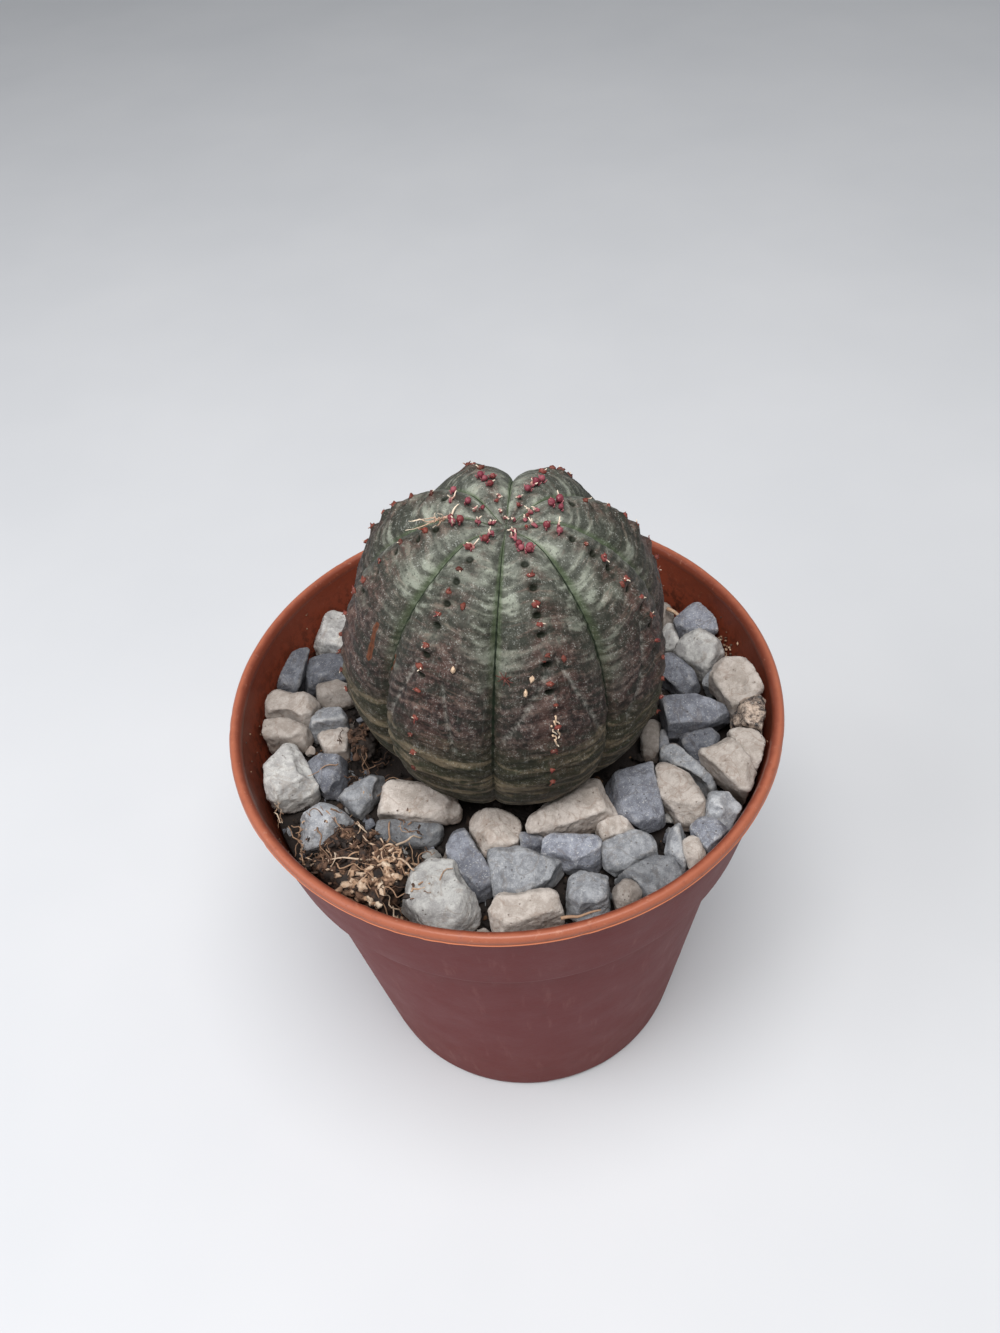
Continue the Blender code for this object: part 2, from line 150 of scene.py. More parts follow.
class Finish:
    """One material, built up from procedural nodes that read the piece in millimetres."""

    def __init__(self, name, shader_values=None):
        self.material = bpy.data.materials.new(name)
        self.material.use_nodes = True
        self.tree = self.material.node_tree
        self.shader = self.tree.nodes["Principled BSDF"]
        for socket, value in (shader_values or {}).items():
            self.shader.inputs[socket].default_value = value
        metres = self.node("ShaderNodeTexCoord", output="Object")
        self.place = self.scaled(metres, (1 / MM, 1 / MM, 1 / MM))

    def node(self, kind, settings=None, sockets=None, output=0):
        """Add a node: its settings first, then its sockets' values or links."""
        made = self.tree.nodes.new(kind)
        for key, value in (settings or {}).items():
            if key == "stops":
                ramp = made.color_ramp.elements
                while len(ramp) < len(value):
                    ramp.new(0.5)
                for stop, (position, colour) in zip(ramp, value):
                    stop.position = position
                    stop.color = colour
            else:
                setattr(made, key, value)
        for key, value in (sockets or {}).items():
            self.feed(made.inputs[key], value)
        return Value(self, made.outputs[output])

    def feed(self, socket, value):
        """Give a socket a link or a plain value."""
        if isinstance(value, Value):
            self.tree.links.new(value.socket, socket)
        else:
            socket.default_value = value

    def scaled(self, vector, factors):
        """A vector with each part multiplied by its own factor."""
        return self.node("ShaderNodeVectorMath", {"operation": "MULTIPLY"}, {0: vector, 1: factors})

    def point(self, x, y, z):
        """Three values as one vector."""
        return self.node("ShaderNodeCombineXYZ", None, {0: x, 1: y, 2: z})

    def part(self, index):
        """The piece's own x, y or z in millimetres."""
        return self.node("ShaderNodeSeparateXYZ", None, {0: self.place}, index)

    def marked(self, name):
        """A value that the mesh carries at its corners."""
        return self.node("ShaderNodeAttribute", {"attribute_name": name}, None, 2)

    def grain(self, size, detail=3.0, roughness=0.55, at=None, distortion=0.0):
        """Soft noise whose lumps are about this many millimetres across, from 0 to 1."""
        sockets = {
            "Vector": self.place if at is None else at,
            "Scale": 1 / size,
            "Detail": detail,
            "Roughness": roughness,
            "Distortion": distortion,
        }
        return self.node("ShaderNodeTexNoise", None, sockets)

    def cells(self, size, feature="F1", at=None, randomness=1.0):
        """Distance within irregular cells about this many millimetres across."""
        sockets = {
            "Vector": self.place if at is None else at,
            "Scale": 1 / size,
            "Randomness": randomness,
        }
        return self.node("ShaderNodeTexVoronoi", {"feature": feature}, sockets)

    def wave(self, value):
        """A smooth wave from -1 to 1 that repeats at every whole number."""
        return self.node("ShaderNodeMath", {"operation": "SINE"}, {0: math.tau * value})

    def fade(self, value, start, end):
        """0 at start and 1 at end, with a soft run between them. Start may be the higher."""
        sockets = {"Value": value, "From Min": start, "From Max": end}
        return self.node("ShaderNodeMapRange", {"interpolation_type": "SMOOTHSTEP"}, sockets)

    def blend(self, first, second, share, how="MIX"):
        """Two colours mixed, with this share of the second."""
        settings = {"data_type": "RGBA", "blend_type": how}
        return self.node("ShaderNodeMix", settings, {0: share, 6: first, 7: second}, 2)

    def paint(self, colour, roughness, relief=None, depth=0.1):
        """Send the colour, the roughness and a relief of this depth in millimetres to the shader."""
        self.feed(self.shader.inputs["Base Color"], colour)
        self.feed(self.shader.inputs["Roughness"], roughness)
        if relief is not None:
            sockets = {"Height": relief, "Distance": depth * MM, "Strength": 1.0}
            self.feed(self.shader.inputs["Normal"], self.node("ShaderNodeBump", None, sockets))
        return self.material


def pot_plastic():
    """Moulded terracotta plastic: warmer and worn on the lip, with painted shade on the lip's inner side;
    duller and dusty on the wall, whose darker mauve is painted shade and painted blue reflected light.
    """
    f = Finish("pot_plastic", {"Specular IOR Level": 0.12, "Coat Roughness": 0.3})
    height = f.part(2)
    outside = f.marked("outside")
    scuff = f.marked("scuff")
    reach = f.node("ShaderNodeVectorMath", {"operation": "LENGTH"}, {0: f.scaled(f.place, (1, 1, 0))}, 1)
    # Darker on the lip's inner side, lighter towards its outer edge: wear, and painted shade on the inner
    # side.
    worn_and_shaded_lip = f.fade(reach + 0.5 * (f.grain(1.2, 4.0) - 0.5), LIP - 1.2, LIP - 0.5)
    lip_colour = f.blend(srgb(116, 58, 42), srgb(156, 90, 67), worn_and_shaded_lip)
    inner_colour = srgb(122, 58, 40)
    # The outer wall is darker and more mauve than the plastic inside: painted shade and painted blue
    # reflected light.
    shaded_wall_colour = srgb(107, 44, 44)
    shaded_low_wall_colour = srgb(106, 40, 36)
    cloud = f.grain(9.0, 4.0)
    wall = f.blend(shaded_low_wall_colour, shaded_wall_colour, f.fade(height + 14 * cloud, 10.0, 34.0))
    body = f.blend(inner_colour, wall, outside)
    on_lip = f.fade(height, RIM - 1.3, RIM - 1.1)
    colour = f.blend(body, lip_colour, on_lip)
    streaks = f.grain(1.0, 4.0, 0.6, at=f.scaled(f.place, (0.8, 0.8, 0.07)))
    colour = f.blend(colour, srgb(146, 98, 90), 0.25 * f.fade(streaks, 0.56, 0.78) * outside)
    colour = f.blend(colour, srgb(92, 48, 42), 0.35 * f.fade(f.grain(2.4, 5.0, 0.7), 0.54, 0.75))
    flash = on_lip * f.fade(height, RIM - 0.98, RIM - 1.06) * f.fade(reach, LIP - 0.3, LIP - 0.12)
    colour = f.blend(colour, srgb(202, 124, 90), 0.8 * flash)
    pores = f.fade(f.cells(0.5), 0.16, 0.05)
    colour = f.blend(colour, srgb(80, 40, 34), 0.3 * pores)
    dust = f.fade(f.grain(0.7, 5.0, 0.7), 0.58, 0.74)
    dusty = dust * (0.1 + 0.25 * f.fade(height, RIM - 4.0, RIM))
    colour = f.blend(colour, srgb(196, 146, 122), dusty)
    colour = f.blend(colour, srgb(214, 170, 150), 0.75 * scuff)
    soil = f.marked("soil") * f.fade(f.grain(1.1, 5.0, 0.7), 0.46, 0.6)
    colour = f.blend(colour, srgb(44, 28, 22), 0.8 * soil)
    smear = f.grain(5.0, 5.0, 0.6)
    roughness = 0.3 + 0.22 * smear + 0.16 * dust + 0.12 * outside * (1 - on_lip)
    relief = f.grain(0.45, 3.0) * 0.35 + 0.65 * f.grain(2.6, 3.0) - 0.5 * pores
    f.feed(f.shader.inputs["Coat Weight"], 0.3 * on_lip)
    return f.paint(colour, roughness, relief, 0.05)


def mix_soil_and_shade(name="mix_soil_and_shade", lift=0.0):
    """Damp peat with pale bark crumbs and fibres in it, darkened near to black as painted shade for the gaps
    between the stones.
    """
    f = Finish(name)
    tint = f.marked("tint")
    lump = f.grain(0.9, 5.0, 0.65)
    # The dark end is near black: the peat's colour darkened as painted shade.
    colour = f.blend(srgb(8 + lift, 6 + lift, 6 + lift), srgb(38 + lift, 26 + lift, 19 + lift), lump)
    colour = f.blend(colour, srgb(120, 84, 54), 0.7 * f.fade(tint, 0.75, 1.0))
    bark = f.fade(f.cells(0.8), 0.22, 0.1) * f.fade(f.grain(2.2), 0.5, 0.62)
    colour = f.blend(colour, srgb(146, 108, 74), 0.55 * bark)
    return f.paint(colour, 0.82 + 0.14 * lump, lump + 0.4 * f.grain(0.25), 0.25)


def plant_skin():
    """The plant's skin: grey-green and plum under a pale bloom, barred across the ribs, with painted light on
    the top and painted shade lower down, in the grooves and in the pits.
    """
    f = Finish("plant_skin", {"Specular IOR Level": 0.16})
    side = f.marked("side")
    edge = f.marked("edge")
    down = f.marked("down")
    band = f.marked("band")
    pit = f.marked("pit")

    drift = f.grain(6.0, 2.0)
    wavy = band + 0.5 * (drift - 0.5)
    bars = f.grain(1.0, 3.0, 0.55, at=f.point(side * 1.3, wavy * 1.7, down * 2.0))
    bars = bars + 0.045 * f.wave(wavy * 2.3 + 1.4 * (f.grain(2.0, 2.0) - 0.5))
    thin_bars = f.grain(1.0, 2.0, 0.55, at=f.point(side * 1.6, wavy * 5.2, 0.0))
    threads = f.grain(1.0, 4.0, 0.65, at=f.point(side * 26.0, band * 1.3, down * 9.0))
    mottle = f.grain(2.6, 5.0, 0.62)
    patch = f.grain(0.7, 5.0, 0.68)
    speckle = f.grain(0.14, 3.0, 0.65)

    near_groove = f.fade(edge + 0.4 * (mottle - 0.5), 0.3, 0.84)
    crest = f.fade(edge + 0.3 * (patch - 0.5), 0.5, 0.1)
    upper = f.fade(down + 0.2 * (mottle - 0.5), 0.4, 0.12)
    lower = f.fade(down + 0.06 * (mottle - 0.5), 0.43, 0.52)

    # Lighter towards the crown: partly the skin's colour, partly painted light on the top.
    grey_green = f.blend(srgb(72, 74, 65), srgb(98, 100, 92), f.fade(down, 0.22, 0.08))
    # Dark plum lower down: partly the skin's own plum, partly painted shade on the lower body.
    shaded_plum = srgb(34, 28, 27)
    plum = srgb(70, 54, 50)
    plum_and_shade_share = f.fade(down + 0.3 * (mottle - 0.5) - 0.1 * near_groove, 0.06, 0.36)
    colour = f.blend(grey_green, f.blend(shaded_plum, plum, f.fade(patch, 0.36, 0.64)), plum_and_shade_share)
    colour = f.blend(colour, srgb(80, 56, 50), 0.6 * crest * f.fade(mottle + 0.4 * (patch - 0.5), 0.4, 0.6))
    colour = f.blend(colour, srgb(38, 41, 35), 0.6 * f.fade(bars + 0.25 * (patch - 0.5), 0.52, 0.38))
    pale = f.fade(bars + 0.35 * (thin_bars - 0.5) + 0.25 * (patch - 0.5), 0.49, 0.7)
    # The pale bars are stronger towards the top: partly the skin's bars, partly painted light on the top.
    pale_share = 0.08 + 0.2 * upper + 0.44 * near_groove * (0.2 + 0.8 * upper)
    pale_colour = f.blend(srgb(158, 163, 149), srgb(136, 124, 116), f.fade(plum_and_shade_share, 0.5, 1.0))
    colour = f.blend(colour, pale_colour, pale * pale_share)
    dry_bars = f.fade(thin_bars + 0.3 * (patch - 0.5), 0.54, 0.7)
    colour = f.blend(colour, srgb(118, 96, 86), 0.34 * dry_bars * (1 - 0.7 * near_groove))

    low_bars = f.grain(1.0, 3.0, 0.55, at=f.point(side * 0.6, down * 36.0, 0.0))
    tan_bars = f.fade(low_bars + 0.16 * (patch - 0.5), 0.5, 0.62)
    colour = f.blend(colour, srgb(58, 60, 42), 0.6 * lower)
    colour = f.blend(colour, srgb(132, 118, 96), 0.6 * lower * tan_bars)
    colour = f.blend(colour, srgb(34, 34, 26), 0.4 * lower * f.fade(low_bars, 0.47, 0.36))
    colour = f.blend(colour, srgb(160, 164, 156), 0.16 * f.fade(threads, 0.56, 0.74))
    colour = f.blend(colour, srgb(150, 150, 142), 0.5 * f.marked("seam") * f.fade(patch, 0.36, 0.6))
    bloom = f.fade(speckle + 0.6 * (patch - 0.5), 0.57, 0.72)
    colour = f.blend(colour, srgb(186, 190, 184), bloom * (0.32 + 0.14 * upper))
    dark_dots = f.fade(f.grain(0.22, 3.0, 0.65) + 0.3 * (patch - 0.5), 0.46, 0.32)
    colour = f.blend(colour, srgb(28, 28, 24), 0.55 * dark_dots)

    green_edge = f.fade(edge + 0.14 * (patch - 0.5), 0.84, 0.97) * f.fade(down, 0.5, 0.1)
    colour = f.blend(colour, srgb(84, 100, 70), 0.6 * green_edge)
    # Near black along the bottoms of the grooves: painted shade in the creases.
    colour = f.blend(colour, srgb(24, 33, 21), f.fade(edge, 0.965, 0.99) * f.fade(down, 0.75, 0.4))
    # Near black in the pit below each tubercle: painted shadow under the stub.
    colour = f.blend(colour, srgb(22, 27, 17), 0.92 * f.fade(pit, 0.12, 0.55))
    rust = f.marked("rust") + 0.8 * (f.grain(1.0, 4.0, 0.6, at=f.scaled(f.place, (2.4, 2.4, 0.5))) - 0.5)
    colour = f.blend(colour, srgb(92, 52, 32), 0.9 * f.fade(rust, 0.4, 0.7))
    colour = f.blend(colour, srgb(44, 24, 16), 0.8 * f.fade(rust, 0.85, 1.05))
    cork = f.fade(down, 0.72, 0.84)
    colour = f.blend(colour, srgb(122, 98, 74), cork * (0.6 + 0.4 * mottle))

    roughness = 0.46 + 0.24 * mottle + 0.18 * bloom
    relief = 0.4 * f.grain(0.3, 4.0, 0.65) + 0.3 * threads + 0.3 * patch
    return f.paint(colour, roughness, relief, 0.1)


def bud_skin():
    """Flower buds and bracts: magenta where fresh, drying through rust to cream at the tips."""
    f = Finish("bud_skin", {"Specular IOR Level": 0.4})
    tint = f.marked("tint")
    tip = f.marked("tip")
    fleck = f.grain(0.25, 4.0, 0.6)
    shades = f.node("ShaderNodeValToRGB", {"stops": [
        (0.0, srgb(56, 26, 20)),
        (0.28, srgb(116, 54, 40)),
        (0.5, srgb(110, 34, 52)),
        (0.7, srgb(164, 92, 100)),
        (1.0, srgb(214, 190, 158)),
    ]}, {0: tint})
    colour = f.blend(shades, srgb(236, 220, 198), f.fade(tip, 0.35, 0.95))
    colour = f.blend(colour, srgb(52, 20, 22), 0.5 * f.fade(fleck, 0.5, 0.3))
    colour = f.blend(colour, srgb(226, 190, 180), 0.3 * f.fade(fleck, 0.58, 0.72))
    return f.paint(colour, 0.45 + 0.3 * fleck, fleck, 0.08)


def dry_fibre():
    """Dry roots and coir: straw to dark brown along each strand."""
    f = Finish("dry_fibre")
    tint = f.marked("tint")
    fleck = f.grain(0.4, 4.0, 0.65)
    shades = f.node("ShaderNodeValToRGB", {"stops": [
        (0.0, srgb(30, 21, 17)),
        (0.35, srgb(92, 66, 50)),
        (0.7, srgb(164, 132, 106)),
        (1.0, srgb(212, 196, 176)),
    ]}, {0: tint + 0.5 * (fleck - 0.5)})
    return f.paint(shades, 0.7 + 0.2 * fleck, fleck, 0.06)


class Rock(NamedTuple):
    """What one kind of stone looks like."""

    light: tuple
    dark: tuple
    stain: tuple
    # How strongly the underside takes the stain colour: dust, and painted shade.
    dust_and_shade_share: float
    grain: float  # how strongly the crystals show
    blotch: float  # size of its colour patches in millimetres


ROCKS = {
    "slate": Rock(srgb(136, 139, 148), srgb(104, 106, 115), srgb(92, 84, 80), 0.25, 0.6, 1.6),
    "grey_limestone": Rock(srgb(160, 162, 166), srgb(124, 126, 131), srgb(112, 103, 96), 0.3, 0.5, 1.7),
    "pale_limestone": Rock(srgb(188, 187, 184), srgb(154, 152, 151), srgb(134, 120, 108), 0.35, 0.36, 2.0),
    "cream_limestone": Rock(srgb(184, 175, 168), srgb(158, 148, 140), srgb(126, 104, 90), 0.5, 0.3, 2.2),
    "mottled_chert": Rock(srgb(196, 176, 160), srgb(38, 33, 36), srgb(52, 36, 32), 0.5, 0.5, 1.3),
}


def rock_finish(kind):
    """Crushed stone: broken faces, pale dusted edges, dark pores, and undersides darkened with dust and
    painted shade.
    """
    rock = ROCKS[kind]
    f = Finish(f"{kind}_surface", {"Specular IOR Level": 0.25})
    tint = f.marked("tint")
    corner = f.marked("corner")
    low = f.marked("low")
    relief = f.marked("relief")
    patches = f.grain(rock.blotch, 4.0, 0.6, distortion=0.4)
    crystals = f.grain(0.16, 3.0, 0.7)
    lightness = f.fade(patches + 0.6 * (crystals - 0.5) + 0.3 * relief, 0.3, 0.72)
    colour = f.blend(rock.dark, rock.light, lightness)
    dark_grain = f.fade(f.grain(0.28, 3.0, 0.65), 0.46, 0.34)
    colour = f.blend(colour, rock.dark, rock.grain * dark_grain)
    light_grain = f.fade(f.grain(0.2, 3.0, 0.65), 0.56, 0.68)
    colour = f.blend(colour, srgb(232, 230, 224), 0.55 * rock.grain * light_grain)
    veins = f.fade(f.grain(4.0, 3.0, 0.5, distortion=1.2) - 0.5, 0.03, 0.0)
    veins = veins * f.fade(f.grain(4.0, 3.0, 0.5, distortion=1.2) - 0.5, -0.03, 0.0)
    colour = f.blend(colour, rock.stain, 0.35 * veins)
    colour = f.blend(colour, srgb(228, 224, 218), 0.3 * f.fade(corner + 0.4 * (crystals - 0.5), 0.25, 1.0))
    # Darker and browner towards each stone's underside: dust, and painted shade.
    dust_and_shade_below = f.fade(low + 0.9 * (f.grain(1.8, 4.0, 0.6) - 0.5), 0.35, 0.85)
    colour = f.blend(colour, rock.stain, rock.dust_and_shade_share * dust_and_shade_below)
    pores = f.fade(f.cells(0.62), 0.2, 0.08) * f.fade(f.grain(1.4), 0.5, 0.6)
    colour = f.blend(colour, rock.stain, 0.6 * pores)
    # Each stone's lightness; for some of the darker stones it is painted shade.
    colour = f.blend(colour, tint, 1.0, "MULTIPLY")
    bump = 0.4 * crystals + 0.6 * f.grain(0.5, 5.0, 0.68) - 0.6 * pores
    return f.paint(colour, 0.78 + 0.18 * crystals, bump, 0.24)


# ------------------------------------------------------------------------------- mesh tools

def add_piece(name, points, faces, material, replaces=(), marks=None, flat_above=None):
    """Make one piece in metres from corner points in millimetres, riding on the pot."""
    mesh = bpy.data.meshes.new(name)
    mesh.from_pydata((np.asarray(points) * MM).tolist(), [], [tuple(map(int, face)) for face in faces])
    for key, values in (marks or {}).items():
        layer = mesh.attributes.new(key, "FLOAT", "POINT")
        layer.data.foreach_set("value", np.asarray(values, dtype=np.float32))
    mesh.shade_smooth()
    if flat_above is not None:
        mesh.set_sharp_from_angle(angle=flat_above)
    mesh.materials.append(material)
    piece = bpy.data.objects.new(name, mesh)
    bpy.context.scene.collection.objects.link(piece)
    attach(piece, "root")
    if replaces:
        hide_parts(*replaces)
    return piece


class Bundle:
    """Many small shapes gathered into one piece, each with its own tint."""

    def __init__(self):
        self.points = []
        self.faces = []
        self.tint = []
        self.tip = []
        self.count = 0

    def add(self, shape, tint, tip=None):
        points, faces = shape
        self.points.append(points)
        self.faces += [tuple(index + self.count for index in face) for face in faces]
        self.tint.append(np.full(len(points), tint))
        self.tip.append(np.zeros(len(points)) if tip is None else tip)
        self.count += len(points)

    def make(self, name, material, slot=None, replaces=(), flat_above=None):
        marks = {"tint": np.concatenate(self.tint), "tip": np.concatenate(self.tip)}
        return add_piece(
            name, np.concatenate(self.points), self.faces, material, replaces, marks, flat_above
        )


def evaluated(block):
    """A working object's corner points and faces after its modifiers; the object is removed."""
    bpy.context.view_layer.update()
    mesh = bpy.data.meshes.new_from_object(block.evaluated_get(bpy.context.evaluated_depsgraph_get()))
    points = np.empty(len(mesh.vertices) * 3, dtype=np.float32)
    mesh.vertices.foreach_get("co", points)
    faces = [tuple(face.vertices) for face in mesh.polygons]
    bpy.data.objects.remove(block)
    bpy.data.meshes.remove(mesh)
    return points.reshape(-1, 3).astype(float), faces


def working_object(points, faces):
    """A plain object in millimetres, for modifiers to work on."""
    mesh = bpy.data.meshes.new("blank")
    mesh.from_pydata([tuple(point) for point in points], [], faces)
    block = bpy.data.objects.new("blank", mesh)
    bpy.context.scene.collection.objects.link(block)
    return block


def even_skin(points, faces, size):
    """The same solid with an even skin of four-cornered faces of this size."""
    block = working_object(points, faces)
    remesh = block.modifiers.new("even_skin", "REMESH")
    remesh.mode = "VOXEL"
    remesh.voxel_size = size
    points, faces = evaluated(block)
    return points, np.array(faces)


def cad_solid(node):
    """A CAD node's corner points in millimetres and its faces, each corner held once."""
    bm = bmesh.new()
    bm.from_mesh(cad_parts[node].data)
    bmesh.ops.scale(bm, vec=(1 / MM, 1 / MM, 1 / MM), verts=bm.verts)
    bmesh.ops.remove_doubles(bm, verts=bm.verts, dist=0.01)
    bm.verts.index_update()
    points = np.array([vert.co for vert in bm.verts])
    faces = [tuple(vert.index for vert in face.verts) for face in bm.faces]
    bm.free()
    return points, faces


def relaxed(points, faces, steps):
    """Points drawn towards the middle of their neighbours, which rounds edges and corners."""
    pairs = np.concatenate([faces[:, [i, (i + 1) % 4]] for i in range(4)])
    pairs = np.unique(np.sort(pairs, axis=1), axis=0)
    start, end = pairs.T
    count = np.bincount(start, minlength=len(points)) + np.bincount(end, minlength=len(points))
    for _ in range(steps):
        total = np.empty_like(points)
        for axis in range(3):
            total[:, axis] = np.bincount(start, points[end, axis], len(points))
            total[:, axis] += np.bincount(end, points[start, axis], len(points))
        points = points + 0.5 * (total / count[:, None] - points)
    return points


def normals_of(points, faces):
    """The outward direction at each point of a skin of four-cornered faces."""
    first, second, third, fourth = (points[faces[:, i]] for i in range(4))
    facing = np.cross(third - first, fourth - second)
    total = np.zeros_like(points)
    for i in range(4):
        for axis in range(3):
            total[:, axis] += np.bincount(faces[:, i], facing[:, axis], len(points))
    return total / np.maximum(np.linalg.norm(total, axis=1), 1e-9)[:, None]


def lumps(points, size, octaves=3, shift=(0.0, 0.0, 0.0)):
    """Soft noise at each point, about -1 to 1, with lumps of this size."""
    return np.array([
        noise.fractal(Vector(point), 1.0, 2.0, octaves) for point in points / size + shift
    ])


@functools.cache
def ball(level):
    """A unit ball's points and faces."""
    bm = bmesh.new()
    bmesh.ops.create_icosphere(bm, subdivisions=level, radius=1.0)
    points = np.array([vert.co for vert in bm.verts])
    faces = [tuple(vert.index for vert in face.verts) for face in bm.faces]
    bm.free()
    return points, faces


def frame_towards(direction, rng=None):
    """Three axes as columns, the last along a direction, turned at random if asked."""
    third = np.asarray(direction, float) / np.linalg.norm(direction)
    helper = np.array((1.0, 0.0, 0.0)) if abs(third[0]) < 0.8 else np.array((0.0, 1.0, 0.0))
    first = np.cross(helper, third)
    first /= np.linalg.norm(first)
    second = np.cross(third, first)
    if rng is not None:
        turn = rng.uniform(0, math.tau)
        first, second = (
            math.cos(turn) * first + math.sin(turn) * second,
            math.cos(turn) * second - math.sin(turn) * first,
        )
    return np.stack((first, second, third), axis=1)


def lump(rng, centre, size, axes=None, roughness=0.25, level=2):
    """An uneven lump: a ball of this size in three directions, pushed in and out."""
    points, faces = ball(level)
    push = 1 + roughness * 1.6 * lumps(points, 0.9, 3, rng.uniform(0, 50, 3))
    shaped = points * push[:, None] * np.asarray(size) / 2
    if axes is not None:
        shaped = shaped @ axes.T
    return shaped + centre, faces


def shard(rng, centre, size, axes=None, corners=12):
    """A small broken chip with flat faces."""
    directions = rng.normal(size=(corners, 3))
    directions /= np.linalg.norm(directions, axis=1)[:, None]
    bm = bmesh.new()
    for point in directions * rng.uniform(0.75, 1.0, (corners, 1)) * np.asarray(size) / 2:
        bm.verts.new(point)
    bmesh.ops.convex_hull(bm, input=bm.verts)
    bmesh.ops.delete(bm, geom=[vert for vert in bm.verts if not vert.link_faces], context="VERTS")
    bmesh.ops.bevel(
        bm, geom=bm.edges[:], offset=min(size) * 0.07, segments=2, affect="EDGES", profile=0.6
    )
    bmesh.ops.triangulate(bm, faces=bm.faces)
    bmesh.ops.subdivide_edges(bm, edges=bm.edges[:], cuts=1, use_grid_fill=True)
    bmesh.ops.recalc_face_normals(bm, faces=bm.faces)
    bm.verts.index_update()
    points = np.array([vert.co for vert in bm.verts])
    faces = [tuple(vert.index for vert in face.verts) for face in bm.faces]
    bm.free()
    points = points * (1 + 0.09 * lumps(points, 0.5 * min(size), 3, rng.uniform(0, 50, 3)))[:, None]
    points = np.clip(points, -0.55 * np.asarray(size), 0.55 * np.asarray(size))
    if axes is not None:
        points = points @ axes.T
    return points + centre, faces


def strand(path, thickness, tip=0.4, sides=6):
    """A thin round strand along a path, tapering to its tip, with closed ends."""
    path = np.asarray(path, float)
    along = np.gradient(path, axis=0)
    along /= np.linalg.norm(along, axis=1)[:, None]
    across = np.cross(along, (0.31, 0.23, 0.92))
    across /= np.maximum(np.linalg.norm(across, axis=1), 1e-6)[:, None]
    other = np.cross(along, across)
    share = np.linspace(0, 1, len(path))
    radius = thickness / 2 * (1 - (1 - tip) * share)
    turns = np.arange(sides) * math.tau / sides
    ring = across[:, None] * np.cos(turns)[None, :, None] + other[:, None] * np.sin(turns)[None, :, None]
    points = (path[:, None] + ring * radius[:, None, None]).reshape(-1, 3)
    faces = []
    for row in range(len(path) - 1):
        for i in range(sides):
            j = (i + 1) % sides
            a, b = row * sides, (row + 1) * sides
            faces.append((a + i, a + j, b + j, b + i))
    faces.append(tuple(range(sides))[::-1])
    faces.append(tuple(range((len(path) - 1) * sides, len(path) * sides)))
    return (points, faces), np.repeat(share, sides)


def curl(rng, start, end, wander, steps=9):
    """A path from start to end that wanders sideways, fixed at both ends."""
    start, end = np.asarray(start, float), np.asarray(end, float)
    share = np.linspace(0, 1, steps)[:, None]
    shift = rng.uniform(0, 50, 3)
    sway = np.array([
        [noise.noise(Vector((2.2 * float(t) + shift[axis], axis * 7.3, shift[2]))) for axis in range(3)]
        for t in share[:, 0]
    ])
    return start + (end - start) * share + sway * wander * np.sin(math.pi * share)


# ------------------------------------------------------------------------------- pot

def rounded(profile, radius, steps=4):
    """A profile with each of its corners turned into a small curve."""
    points = [np.array(profile[0], float)]
    for before, corner, after in zip(profile, profile[1:], profile[2:]):
        before, corner, after = (np.array(point, float) for point in (before, corner, after))
        reach = min(radius, np.linalg.norm(before - corner) * 0.45, np.linalg.norm(after - corner) * 0.45)
        start = corner + (before - corner) / np.linalg.norm(before - corner) * reach
        end = corner + (after - corner) / np.linalg.norm(after - corner) * reach
        for t in np.linspace(0, 1, steps):
            points.append((1 - t) ** 2 * start + 2 * t * (1 - t) * corner + t**2 * end)
    points.append(np.array(profile[-1], float))
    return np.array(points)


def with_rows(profile, longest):
    """A profile with points added until no step is longer than this."""
    points = [profile[0]]
    for start, end in zip(profile, profile[1:]):
        count = max(1, math.ceil(np.linalg.norm(end - start) / longest))
        points += [start + (end - start) * (i + 1) / count for i in range(count)]
    return np.array(points)


def turned(profile, segments):
    """A closed solid turned about Z from a profile whose two ends lie on the axis."""
    turns = np.arange(segments) * math.tau / segments
    inner = profile[1:-1]
    rings = np.stack((
        inner[:, None, 0] * np.cos(turns), inner[:, None, 0] * np.sin(turns),
        np.repeat(inner[:, 1, None], segments, axis=1),
    ), axis=2)
    points = [(0, 0, profile[0][1]), *rings.reshape(-1, 3), (0, 0, profile[-1][1])]
    last = len(points) - 1
    faces = []
    for i in range(segments):
        j = (i + 1) % segments
        faces.append((0, 1 + j, 1 + i))
        for row in range(len(inner) - 1):
            a, b = 1 + row * segments, 1 + (row + 1) * segments
            faces.append((a + i, a + j, b + j, b + i))
        end = 1 + (len(inner) - 1) * segments
        faces.append((end + i, end + j, last))
    return np.array(points, float), faces


